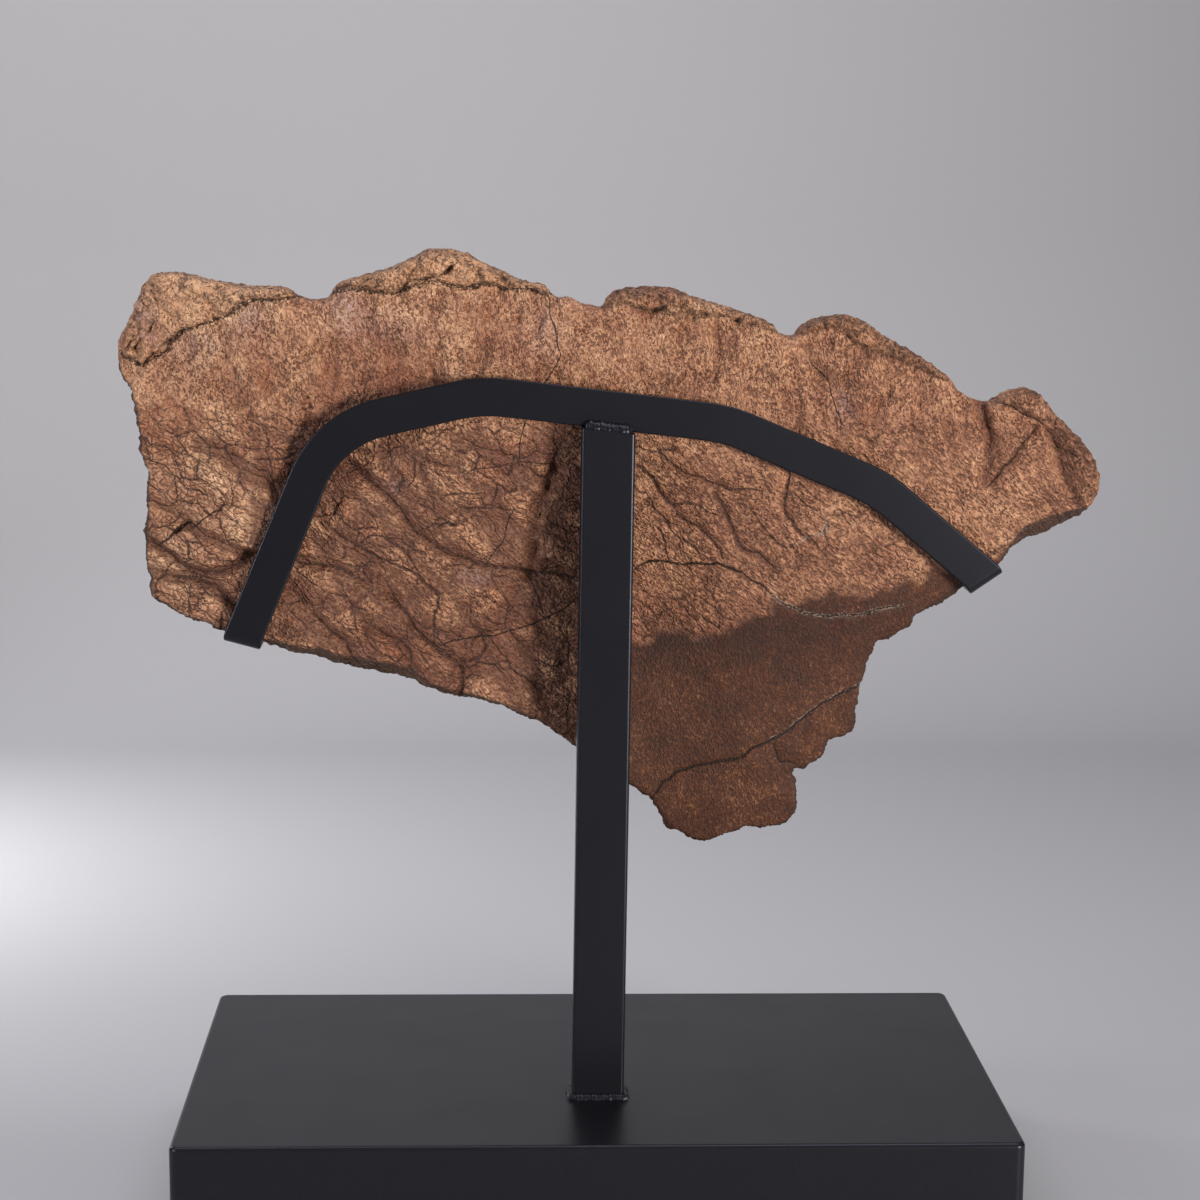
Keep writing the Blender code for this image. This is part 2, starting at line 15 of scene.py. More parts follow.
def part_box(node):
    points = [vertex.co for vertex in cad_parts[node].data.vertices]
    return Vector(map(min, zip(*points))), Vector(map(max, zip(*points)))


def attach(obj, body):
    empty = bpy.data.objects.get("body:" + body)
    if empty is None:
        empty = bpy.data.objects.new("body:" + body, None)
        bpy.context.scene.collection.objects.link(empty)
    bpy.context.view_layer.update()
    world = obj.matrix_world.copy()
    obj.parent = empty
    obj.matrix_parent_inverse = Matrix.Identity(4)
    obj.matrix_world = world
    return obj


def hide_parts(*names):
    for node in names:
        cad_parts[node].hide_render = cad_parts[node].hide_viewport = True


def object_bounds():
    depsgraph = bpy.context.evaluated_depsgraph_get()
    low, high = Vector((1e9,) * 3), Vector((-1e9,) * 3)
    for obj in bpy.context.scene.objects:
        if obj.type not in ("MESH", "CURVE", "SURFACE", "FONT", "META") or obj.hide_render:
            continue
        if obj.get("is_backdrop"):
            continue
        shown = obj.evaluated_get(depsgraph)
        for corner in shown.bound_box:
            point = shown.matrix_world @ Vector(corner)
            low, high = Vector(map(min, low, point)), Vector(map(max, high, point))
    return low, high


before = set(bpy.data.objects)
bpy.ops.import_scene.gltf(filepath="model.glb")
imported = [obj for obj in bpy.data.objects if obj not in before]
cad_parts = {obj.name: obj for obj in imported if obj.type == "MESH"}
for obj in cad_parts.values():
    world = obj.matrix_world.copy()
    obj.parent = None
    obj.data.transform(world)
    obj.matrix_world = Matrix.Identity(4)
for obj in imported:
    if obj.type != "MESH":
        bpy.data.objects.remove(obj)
cad_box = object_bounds()
MM = 0.001


# --- Base ---
# A sheet of mild steel, 3 mm thick, folded down on four sides into a box that is open underneath.
# The upright corners are welded and ground round, and a pore is left where the folds meet the welds.


def linear(code):
    """The linear colour of an sRGB hex value, with alpha."""
    parts = [int(code[i : i + 2], 16) / 255 for i in (1, 3, 5)]
    return (*(c / 12.92 if c <= 0.04045 else ((c + 0.055) / 1.055) ** 2.4 for c in parts), 1)


def add(tree, kind, inputs=(), stops=(), **settings):
    """Adds a node of a kind, with its operation if it has one. Inputs go by name, by number or in order.

    An input takes a value, a hex colour, a socket, or a node for its first output. Stops fill a ramp.
    """
    kind, *operation = kind.split()
    node = tree.nodes.new("ShaderNode" + kind)
    if operation:
        node.operation = operation[0]
    for name, value in settings.items():
        setattr(node, name, value)
    for name, value in inputs.items() if isinstance(inputs, dict) else enumerate(inputs):
        if isinstance(value, bpy.types.Node):
            value = value.outputs[0]
        if isinstance(value, bpy.types.NodeSocket):
            tree.links.new(value, node.inputs[name])
        else:
            is_colour = isinstance(value, str)
            node.inputs[name].default_value = linear(value) if is_colour else value
    for i, (place, code) in enumerate(stops):
        elements = node.color_ramp.elements
        stop = elements[i] if i < len(elements) else elements.new(place)
        stop.position = place
        stop.color = linear(code)
    return node


def new_material(name):
    """A material without nodes, and add() for its tree."""
    material = bpy.data.materials.new(name)
    material.use_nodes = True
    material.node_tree.nodes.clear()
    return material, partial(add, material.node_tree)


def make_powder_coat():
    """Black polyester powder, sprayed dry on the steel and baked: satin, with a faint orange peel."""
    material, put = new_material("satin_black_powder_coat")
    place = put("TexCoord").outputs["Object"]
    cloud, peel, grain, rolled = (
        put("TexNoise", {"Vector": place, "Scale": 1 / (size * MM), "Detail": detail})
        for size, detail in ((60, 2.0), (2.4, 1.0), (0.9, 2.0), (45, 0.0))
    )
    height = put("Math MULTIPLY_ADD", (grain, 0.35, peel))
    uneven = put("Bump", {"Strength": 1.0, "Distance": 0.2 * MM, "Height": rolled})
    bump = put("Bump", {"Strength": 0.22, "Distance": 0.06 * MM, "Height": height, "Normal": uneven})
    shader = put("BsdfPrincipled", {
        "Base Color": put("ValToRGB", (grain,), ((0.35, "#0F0F12"), (0.65, "#16161A"))),
        "Roughness": put("MapRange", {"Value": cloud, "To Min": 0.30, "To Max": 0.38}),
        "Normal": bump, "IOR": 1.5, "Specular IOR Level": 0.4, "Specular Tint": "#DADDF2",
    })
    put("OutputMaterial", {"Surface": shader})
    return material


powder_coat = make_powder_coat()


def mesh_of(bm, name):
    """The bmesh as a new mesh."""
    mesh = bpy.data.meshes.new(name)
    bm.to_mesh(mesh)
    bm.free()
    return mesh


def new_object(name, data):
    """An object in the scene."""
    obj = bpy.data.objects.new(name, data)
    bpy.context.scene.collection.objects.link(obj)
    return obj


def steel_piece(bm, name, node):
    """Makes the object of a steel piece that stands for a node of the frame."""
    bmesh.ops.recalc_face_normals(bm, faces=bm.faces)
    mesh = mesh_of(bm, name)
    mesh.materials.append(powder_coat)
    mesh.shade_smooth()
    mesh.set_sharp_from_angle(angle=math.radians(35))
    obj = new_object(name, mesh)
    flats = obj.modifiers.new("flats_stay_flat", "WEIGHTED_NORMAL")
    flats.keep_sharp = True
    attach(obj, "root")
    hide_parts(node)
    return obj


def bevel(bm, geom, offset, segments, affect="EDGES"):
    """Bevels the edges or vertices, and gives the new faces."""
    return bmesh.ops.bevel(bm, geom=geom, offset=offset, segments=segments, profile=0.5,
                           affect=affect, material=-1)["faces"]


def rounded_block(size, place, radius, segments):
    """A block standing on z = 0 of its place, its four upright edges rounded."""
    bm = bmesh.new()
    middle = Matrix.Translation((0, 0, size[2] / 2))
    bmesh.ops.create_cube(bm, size=1, matrix=middle @ Matrix.Diagonal((*size, 1)))
    upright = [e for e in bm.edges if abs(e.verts[0].co.z - e.verts[1].co.z) > size[2] / 2]
    bevel(bm, upright, radius, segments)
    bmesh.ops.transform(bm, matrix=place, verts=bm.verts)
    return bm


SHEET = 3 * MM
BASE_CORNER_RADIUS = 7 * MM
BASE_FOLD_RADIUS = 3.5 * MM
PORE_WIDTH = 1.6 * MM
PORE_DEPTH = 1.1 * MM

base_low, base_high = (Vector(corner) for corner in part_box("base"))
base_size = base_high - base_low
base_foot = Matrix.Translation(((base_low.x + base_high.x) / 2, (base_low.y + base_high.y) / 2, base_low.z))
bm = rounded_block(base_size, base_foot, BASE_CORNER_RADIUS, 8)
top_face = max(bm.faces, key=lambda f: f.calc_center_median().z)
bevel(bm, list(top_face.edges), BASE_FOLD_RADIUS, 6)
underside = min(bm.faces, key=lambda f: f.calc_center_median().z)
bmesh.ops.delete(bm, geom=[underside], context="FACES")
for corner_x in (base_low.x, base_high.x):
    for corner_y in (base_low.y, base_high.y):
        corner = Vector((corner_x, corner_y, base_high.z))
        pore = min(bm.verts, key=lambda v: (v.co - corner).length)
        ring = bevel(bm, [pore], PORE_WIDTH / 2, 1, "VERTICES")
        bmesh.ops.inset_region(bm, faces=ring, thickness=PORE_WIDTH / 5, depth=-PORE_DEPTH)
base_box = steel_piece(bm, "base_box", "base")
sheet = base_box.modifiers.new("sheet", "SOLIDIFY")
sheet.thickness = SHEET
sheet.offset = -1
sheet.use_even_offset = True
base_box.modifiers.move(1, 0)


# --- Post ---
# A rectangular steel tube welded upright on the base. Its top end is sawn along the strap's lower edge
# and closed, and it leans a third of a degree.

POST_WIDTH = 38 * MM
POST_DEPTH = 19 * MM
POST_EDGE_RADIUS = 2.5 * MM
POST_TOP_SLOPE = -0.111

post_low, post_high = (Vector(corner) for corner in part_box("post"))
post_foot = Vector((post_low.x + POST_WIDTH / 2, (post_low.y + post_high.y) / 2, post_low.z))
post_shift = post_high.x - post_low.x - POST_WIDTH
post_lean = math.atan2(post_shift, post_high.z - post_low.z)
post_place = Matrix.Translation(post_foot) @ Matrix.Rotation(post_lean, 4, "Y")
bm = rounded_block((POST_WIDTH, POST_DEPTH, post_high.z - post_low.z + POST_DEPTH), post_place,
                   POST_EDGE_RADIUS, 6)
cut = bmesh.ops.bisect_plane(
    bm, geom=bm.verts[:] + bm.edges[:] + bm.faces[:], clear_outer=True,
    plane_co=(post_low.x + post_shift, 0, post_high.z), plane_no=(-POST_TOP_SLOPE, 0, 1),
)
bmesh.ops.contextual_create(bm, geom=[e for e in cut["geom_cut"] if isinstance(e, bmesh.types.BMEdge)])
steel_piece(bm, "post_tube", "post")


# --- Cradle strap ---
# A flat steel bar, bent on edge into an arch behind the post's face line. Each end is folded back into
# a hook with an upturned lip, and the bone's lower rim stands in the two hooks.

STRAP_WIDTH = 27.2 * MM
STRAP_THICKNESS = 4.8 * MM
STRAP_EDGE_RADIUS = 1.5 * MM
STRAP_CORNERS = ((-202.5, 589.3), (-94.8, 614.3), (79.1, 595.0), (189.6, 549.3))  # millimetres, x and z
STRAP_BEND_RADII = (75, 110, 110, 100)
STRAP_BEND_STEP_DEG = 2.5
LEG_LENGTH = 100
LEFT_LEG = Vector((-0.380, -0.925))
RIGHT_LEG = Vector((0.765, -0.644))
HOOK_INNER_RADIUS = 2 * MM
HOOK_DEPTH = 22.5 * MM
HOOK_LIP_HEIGHT = 16 * MM
HOOK_STEPS = 8
LEFT_HOOK = {"seat": Vector((-266.5, 439.2)), "fold": Vector((0.966, -0.259))}
RIGHT_HOOK = {"seat": Vector((266.8, 484.6)), "fold": Vector((-0.819, -0.574))}

strap_back = post_high.y
strap_middle = strap_back - STRAP_THICKNESS / 2
half_bar = Vector((0, STRAP_THICKNESS / 2, 0))


def upright(point, y=0.0):
    """A place or direction given in the strap's plane, as a vector in space."""
    return Vector((point[0], y, point[1]))


def verts_in(geom):
    """The vertices among what a bmesh operator made."""
    return [item for item in geom if isinstance(item, bmesh.types.BMVert)]


def swept_skin(rings):
    """An open-ended skin through rings of places, with its first and last ring of vertices."""
    bm = bmesh.new()
    first = ring = [bm.verts.new(point) for point in rings[0]]
    edges = [bm.edges.new(pair) for pair in zip(ring, ring[1:] + ring[:1])]
    for points in rings[1:]:
        grown = bmesh.ops.extrude_edge_only(bm, edges=edges)["geom"]
        twins = {tuple(vert.co): vert for vert in verts_in(grown)}
        ring = [twins[tuple(vert.co)] for vert in ring]
        edges = [bm.edges.get(pair) for pair in zip(ring, ring[1:] + ring[:1])]
        for vert, point in zip(ring, points):
            vert.co = point
    return bm, first, ring


def arch_stations():
    """Centre, half width and half thickness of the bar along the arch's four bends."""
    first = Vector(STRAP_CORNERS[0]) + LEG_LENGTH * LEFT_LEG
    last = Vector(STRAP_CORNERS[-1]) + LEG_LENGTH * RIGHT_LEG
    corners = [first, *(Vector(c) for c in STRAP_CORNERS), last]
    for before, corner, after, radius in zip(corners, corners[1:], corners[2:], STRAP_BEND_RADII):
        into = (corner - before).normalized()
        out = (after - corner).normalized()
        turn = math.atan2(into.x * out.y - into.y * out.x, into.dot(out))
        start = corner - into * radius * math.tan(abs(turn) / 2)
        centre = start + Vector((-into.y, into.x)) * math.copysign(radius, turn)
        steps = max(3, round(math.degrees(abs(turn)) / STRAP_BEND_STEP_DEG))
        for step in range(steps + 1):
            spin = Matrix.Rotation(turn * step / steps, 2)
            along = spin @ into
            place = upright((centre + spin @ (start - centre)) * MM, strap_middle)
            yield place, upright((-along.y, along.x)) * STRAP_WIDTH / 2, half_bar


def hook_stations(hook, leg, leg_point):
    """Stations of one hook: its fold, its floor under the bone's rim, and its lip."""
    across = upright(hook["fold"]).normalized()
    leg = upright(leg).normalized()
    outward = Vector((-across.z, 0, across.x))
    outward *= math.copysign(1, outward.dot(leg))
    leg_point = upright(leg_point) * MM
    reach = (upright(hook["seat"]) * MM - leg_point).dot(outward) / leg.dot(outward)
    foot = leg_point + leg * reach
    half_across = across * STRAP_WIDTH / 2 / across.dot(Vector((-leg.z, 0, leg.x)))
    radius = HOOK_INNER_RADIUS + STRAP_THICKNESS / 2
    lip_y = strap_back + HOOK_DEPTH - HOOK_INNER_RADIUS
    for quarter, centre_y in ((0, strap_middle + radius), (1, lip_y)):
        for step in range(HOOK_STEPS + 1):
            angle = math.pi / 2 * (quarter + step / HOOK_STEPS)
            drop = -HOOK_INNER_RADIUS + radius * math.sin(angle)
            place = foot + outward * drop + Vector((0, centre_y - radius * math.cos(angle), 0))
            through = half_bar * math.cos(angle) - outward * math.sin(angle) * STRAP_THICKNESS / 2
            yield place, half_across, through
    yield foot - outward * HOOK_LIP_HEIGHT + Vector((0, lip_y + radius, 0)), half_across, -half_bar


left_hook = [(c, -a, t) for c, a, t in hook_stations(LEFT_HOOK, LEFT_LEG, STRAP_CORNERS[0])]
right_hook = list(hook_stations(RIGHT_HOOK, RIGHT_LEG, STRAP_CORNERS[-1]))
stations = left_hook[::-1] + list(arch_stations()) + right_hook
sections = [[c + a * u + t * v for u, v in ((-1, -1), (1, -1), (1, 1), (-1, 1))] for c, a, t in stations]
bm, *open_ends = swept_skin(sections)
for open_end in open_ends:
    bmesh.ops.contextual_create(bm, geom=open_end)
bmesh.ops.recalc_face_normals(bm, faces=bm.faces)
arrises = [e for e in bm.edges if e.calc_face_angle(0) > math.radians(40)]
bevel(bm, arrises, STRAP_EDGE_RADIUS, 3)
steel_piece(bm, "strap_bar", "cradle_strap")


# --- Weld beads ---
# Hand-laid beads of weld metal, under the same black coat: one on the post's top ledge against the
# strap, one round the post's foot. Each bead is a run of overlapping ripples, fuller at its ends.

TOP_WELD_RADIUS = 5.6 * MM
FOOT_WELD_RADIUS = 4.0 * MM
WELD_STATION = 0.55 * MM
WELD_RIPPLE = 2.6 * MM  # from one ripple to the next
WELD_RIPPLE_SHARE = 0.06  # how much thicker a ripple is than the dips beside it
WELD_RIPPLE_LAG = 0.5 * MM
WELD_END_SWELLING = 0.12
WELD_LUMP_SHARE = 0.16
WELD_LUMP_SIZE = 3.5 * MM
WELD_SIDES = 18
TOP_WELD_INSET = 2 * MM


def resample(points, spacing):
    """The same line with a point every spacing."""
    placed = [points[0]]
    for start, stop in zip(points, points[1:]):
        steps = max(1, round((stop - start).length / spacing))
        placed += [start.lerp(stop, i / steps) for i in range(1, steps + 1)]
    return placed


def bead(points, radius, closed, seed):
    """A rippled bead along points: a circle that is swept from station to station."""
    rings = []
    count = len(points)
    for i, point in enumerate(points):
        ahead = points[(i + 1) % count] if closed or i + 1 < count else point
        behind = points[i - 1] if closed or i else point
        along = (ahead - behind).normalized()
        turn = along.to_track_quat("Z", "Y")
        ripple = abs(math.sin(math.pi * i * WELD_STATION / WELD_RIPPLE))
        size = radius * (1 - WELD_RIPPLE_SHARE + WELD_RIPPLE_SHARE * ripple)
        if not closed:
            from_end = min(i, count - 1 - i) * WELD_STATION / radius
            round_end = math.sqrt(max(0.02, 1 - max(0, 1 - from_end) ** 2))
            size *= round_end + WELD_END_SWELLING * math.exp(-from_end * from_end)
        lag = along * (1 - ripple) * WELD_RIPPLE_LAG
        ring = []
        for side in range(WELD_SIDES):
            angle = 2 * math.pi * side / WELD_SIDES
            spoke = turn @ Vector((math.cos(angle), math.sin(angle), 0))
            lump = noise.noise((point + spoke * radius) / WELD_LUMP_SIZE + Vector((seed, 0, 0)))
            ring.append(point + lag + spoke * size * (1 + WELD_LUMP_SHARE * lump))
        rings.append(ring)
    bm, first, last = swept_skin(rings)
    if closed:
        loops = [[bm.edges.get(pair) for pair in zip(ring, ring[1:] + ring[:1])] for ring in (last, first)]
        bmesh.ops.bridge_loops(bm, edges=loops[0] + loops[1])
    else:
        for ring in (first, last):
            bmesh.ops.contextual_create(bm, geom=ring)
    return bm


strap_front = strap_back - STRAP_THICKNESS
top_left = Vector((post_low.x + post_shift, strap_front, post_high.z))
top_run = Vector((POST_WIDTH, 0, POST_WIDTH * POST_TOP_SLOPE))
inset = Vector((TOP_WELD_INSET, 0, TOP_WELD_INSET * POST_TOP_SLOPE))
top_line = resample([top_left + inset, top_left + top_run - inset], WELD_STATION)
steel_piece(bead(top_line, TOP_WELD_RADIUS, False, 3.1), "top_weld_bead", "top_weld")

half_post = Vector((POST_WIDTH, POST_DEPTH, 0)) / 2
foot_centre = Vector((post_foot.x, post_foot.y, base_high.z))
foot_corners = [foot_centre + Vector((half_post.x * u, half_post.y * v, 0))
                for u, v in ((-1, -1), (1, -1), (1, 1), (-1, 1), (-1, -1))]
foot_line = resample(foot_corners, WELD_STATION)[:-1]
steel_piece(bead(foot_line, FOOT_WELD_RADIUS, True, 7.7), "foot_weld_bead", "foot_weld")


# --- Frill bone: form ---
# The fossil is one piece from the rim of a horned dinosaur's bony frill. Five marginal bones are fused
# to its natural margin, and the rest of the rim is broken. Every size in this section is in millimetres,
# and every outline is a list of (x, z) places on the bone's hollow face, which looks towards the stand.

# The natural margin, going clockwise from the left end
MARGIN = (
    (-351, 633), (-352, 645), (-350, 652), (-340, 670), (-334, 684), (-326, 695), (-314, 697),
    (-301, 696), (-284, 692), (-256, 688), (-236, 688), (-229, 686), (-225, 682), (-215, 679),
    (-202, 681), (-199, 687), (-193, 692), (-165, 700), (-147, 707), (-133, 715), (-126, 716),
    (-114, 715), (-100, 709), (-81, 700), (-65, 693), (-51, 691), (-45, 684), (-41, 682), (-33, 683),
    (-27, 679), (-10, 676), (-6, 682), (3, 688), (19, 690), (40, 689), (55, 683), (73, 678),
    (96, 671), (112, 664), (117, 658), (127, 656), (132, 663), (144, 669), (162, 671), (177, 667),
    (191, 657), (208, 648), (223, 639), (240, 627), (245, 619), (257, 612), (270, 610), (280, 617),
    (295, 620), (306, 614), (317, 601), (333, 586), (344, 572), (350, 553), (347, 541), (339, 531),
)
BROKEN_RIM = (
    (333, 528), (328, 524), (310, 515), (300, 513), (286, 503), (281, 493), (270, 483), (254, 474),
    (238, 464), (221, 455), (218, 448), (204, 438), (193, 434), (191, 426), (187, 419), (186, 411),
    (184, 403), (182, 390), (180, 381), (181, 372), (176, 363), (161, 357), (158, 346), (150, 340),
    (143, 335), (137, 336), (136, 329), (139, 324), (140, 309), (139, 299), (131, 292), (126, 290),
    (108, 289), (102, 290), (93, 286), (85, 283), (74, 279), (64, 280), (55, 285), (44, 291),
    (39, 299), (32, 312), (21, 320), (16, 324), (0, 338), (-25, 354), (-37, 363), (-50, 372),
    (-70, 381), (-82, 387), (-103, 393), (-108, 392), (-130, 399), (-149, 408), (-175, 413),
    (-194, 417), (-213, 424), (-232, 428), (-251, 434), (-282, 443), (-290, 448), (-306, 453),
    (-320, 461), (-331, 468), (-331, 480), (-334, 488), (-334, 516), (-332, 528), (-333, 542),
    (-331, 555), (-336, 569), (-337, 585), (-340, 604), (-343, 616), (-350, 627),
)

# Each marginal bone: its suture, a place beyond its crest, its middle, how far it stands proud at the
# suture and at its middle, and the suture's depth
MARGINAL_BONES = (
    (((-223, 682), (-243, 680), (-256, 680), (-264, 676), (-274, 669), (-282, 666), (-295, 661),
      (-305, 658), (-314, 651), (-316, 645), (-319, 641), (-326, 641), (-334, 633), (-340, 637),
      (-347, 639)), (-330, 740), (-312, 672), 3.4, 2.4, 2.6),
    (((-198, 685), (-192, 686), (-177, 689), (-172, 686), (-155, 685), (-147, 689), (-134, 693),
      (-126, 694), (-122, 693), (-106, 689), (-92, 693), (-78, 689), (-61, 689), (-47, 684)),
     (-120, 760), (-125, 700), 2.8, 2.2, 2.4),
    (((-9, 676), (-1, 679), (12, 678), (17, 674), (33, 674), (39, 671), (56, 671), (64, 670),
      (77, 671), (88, 666), (97, 665), (108, 662), (115, 660)), (60, 740), (40, 680), 1.0, 1.5, 1.3),
    (((128, 659), (139, 661), (149, 663), (157, 664), (163, 661), (167, 655), (175, 650),
      (186, 647), (195, 644), (206, 640), (214, 636), (224, 632), (235, 626)),
     (220, 720), (165, 662), 0.9, 1.5, 1.2),
    (((267, 612), (275, 610), (283, 608), (294, 604), (305, 597), (313, 589), (318, 580),
      (322, 567), (326, 553), (333, 543), (339, 533)), (400, 640), (300, 605), 0.5, 2.0, 0.6),
)
MARGINAL_STEP_WIDTH = 1.0
MARGINAL_CROWN_RADII = (55, 26)
SUTURE_HALF_WIDTH = 1.1

# Soft vessel channels and furrows of the hollow face: places, half width, depth before CHANNEL_GAIN,
# and how dark they are stained
CHANNELS = (
    (((69, 665), (73, 652), (80, 627)), 6, 1.4, 0.4),
    (((135, 650), (153, 625), (169, 605), (183, 580)), 6.5, 1.9, 0.5),
    (((262, 608), (267, 597), (269, 584), (268, 569), (267, 556)), 6, 2.8, 0.7),
    (((303, 594), (294, 583), (283, 569), (273, 555)), 3.5, 1.2, 0.6),
    (((312, 590), (317, 584), (321, 574), (324, 562), (331, 547)), 6, 2.6, 0.7),
    (((291, 585), (285, 581), (277, 572)), 4, 0.9, 0.4),
    (((-293, 577), (-277, 571), (-267, 562), (-254, 554), (-238, 547), (-226, 541)), 7, 2.8, 1.0),
    (((-305, 519), (-291, 513), (-283, 510), (-271, 503), (-256, 497)), 5, 2.2, 1.0),
    (((-333, 508), (-321, 501), (-306, 489), (-294, 485), (-281, 487), (-269, 492), (-255, 498)),
     4.5, 2.6, 1.0),
    (((-333, 485), (-317, 482), (-299, 481), (-286, 476), (-279, 469), (-270, 461), (-262, 452)),
     6, 2.4, 1.0),
    (((-333, 541), (-318, 531), (-303, 524)), 6, 1.4, 0.6),
    (((-191, 566), (-172, 550), (-160, 541), (-150, 527), (-142, 515), (-126, 504), (-106, 494)),
     4.2, 1.9, 1.0),
    (((-164, 584), (-164, 565), (-157, 553)), 3.6, 1.2, 0.8),
    (((-106, 494), (-93, 490), (-74, 487), (-54, 484), (-24, 480)), 2.6, 1.1, 0.7),
    (((-93, 547), (-83, 533), (-65, 510), (-56, 503)), 5.5, 1.0, 0.9),
    (((-43, 562), (-48, 546), (-55, 534), (-58, 522), (-56, 503), (-60, 480)), 5, 2.2, 0.9),
    (((-226, 494), (-203, 490), (-188, 484), (-166, 477), (-150, 462)), 5, 1.6, 1.0),
    (((-159, 467), (-148, 452), (-139, 440), (-129, 431), (-117, 424), (-109, 413), (-109, 396)),
     3.2, 1.4, 0.8),
    (((-233, 471), (-222, 462), (-216, 456), (-202, 443), (-191, 435), (-188, 422)), 5.5, 1.8, 1.0),
    (((-209, 462), (-200, 457), (-188, 462), (-178, 472)), 4.5, 1.3, 0.9),
    (((-179, 446), (-166, 441), (-152, 435), (-145, 425), (-146, 412)), 3.6, 1.2, 0.8),
    (((-107, 460), (-104, 449), (-95, 441), (-91, 430), (-96, 422), (-112, 417)), 4.5, 1.2, 0.9),
    (((-70, 470), (-82, 452), (-72, 436), (-58, 420), (-50, 396)), 6, 1.2, 0.8),
    (((42, 565), (62, 555), (83, 547), (104, 545)), 2.2, 0.8, 0.5),
    (((73, 544), (80, 534), (84, 523), (89, 512), (94, 504), (115, 491)), 3.4, 1.0, 0.8),
    (((16, 564), (26, 556), (37, 539), (46, 527), (61, 520), (70, 511), (78, 496)), 2.2, 0.9, 0.6),
    (((126, 562), (123, 546), (122, 534), (131, 519), (142, 511)), 2.8, 0.9, 0.6),
    (((-200, 640), (-120, 622), (-60, 622), (0, 615)), 16, 1.6, 0.15),
)

# Open cracks: places, half width and depth. The first two go through to the far face.
CRACKS = (
    (((14, 486), (27, 494), (45, 492), (70, 492), (83, 490), (94, 486), (103, 478), (112, 473)), 0.75, 1.2),
    (((30, 313), (42, 328), (48, 333), (63, 339), (82, 343), (97, 346), (107, 353), (119, 359), (133, 367),
      (145, 379), (157, 389), (173, 396), (186, 404)), 0.85, 1.4),
    (((108, 475), (124, 462), (137, 457), (157, 454), (176, 456), (194, 459), (212, 463)), 0.35, 0.5),
    (((119, 359), (121, 351), (126, 342), (138, 340)), 0.6, 0.9),
    (((-47, 684), (-46, 668), (-42, 656), (-39, 642), (-43, 633), (-52, 618), (-63, 596), (-68, 582),
      (-67, 566)), 0.45, 0.8),
    (((-70, 533), (-77, 519), (-79, 509), (-86, 498), (-91, 486)), 0.4, 0.5),
    (((-128, 430), (-114, 435), (-88, 437), (-71, 442), (-55, 447), (-38, 455), (-22, 467)), 0.5, 0.7),
    (((-324, 504), (-316, 511), (-309, 519), (-300, 521)), 0.9, 1.5),
    (((-301, 516), (-291, 524), (-285, 528), (-279, 531), (-275, 538)), 0.5, 0.8),
    (((-203, 543), (-192, 526)), 0.5, 0.6),
    (((-127, 518), (-119, 522), (-111, 518)), 0.9, 0.8),
    (((305, 597), (294, 602), (283, 608), (272, 611)), 0.5, 0.8),
    (((139, 640), (150, 625), (158, 606), (161, 590)), 0.4, 0.5),
)
THROUGH_CRACKS = 2

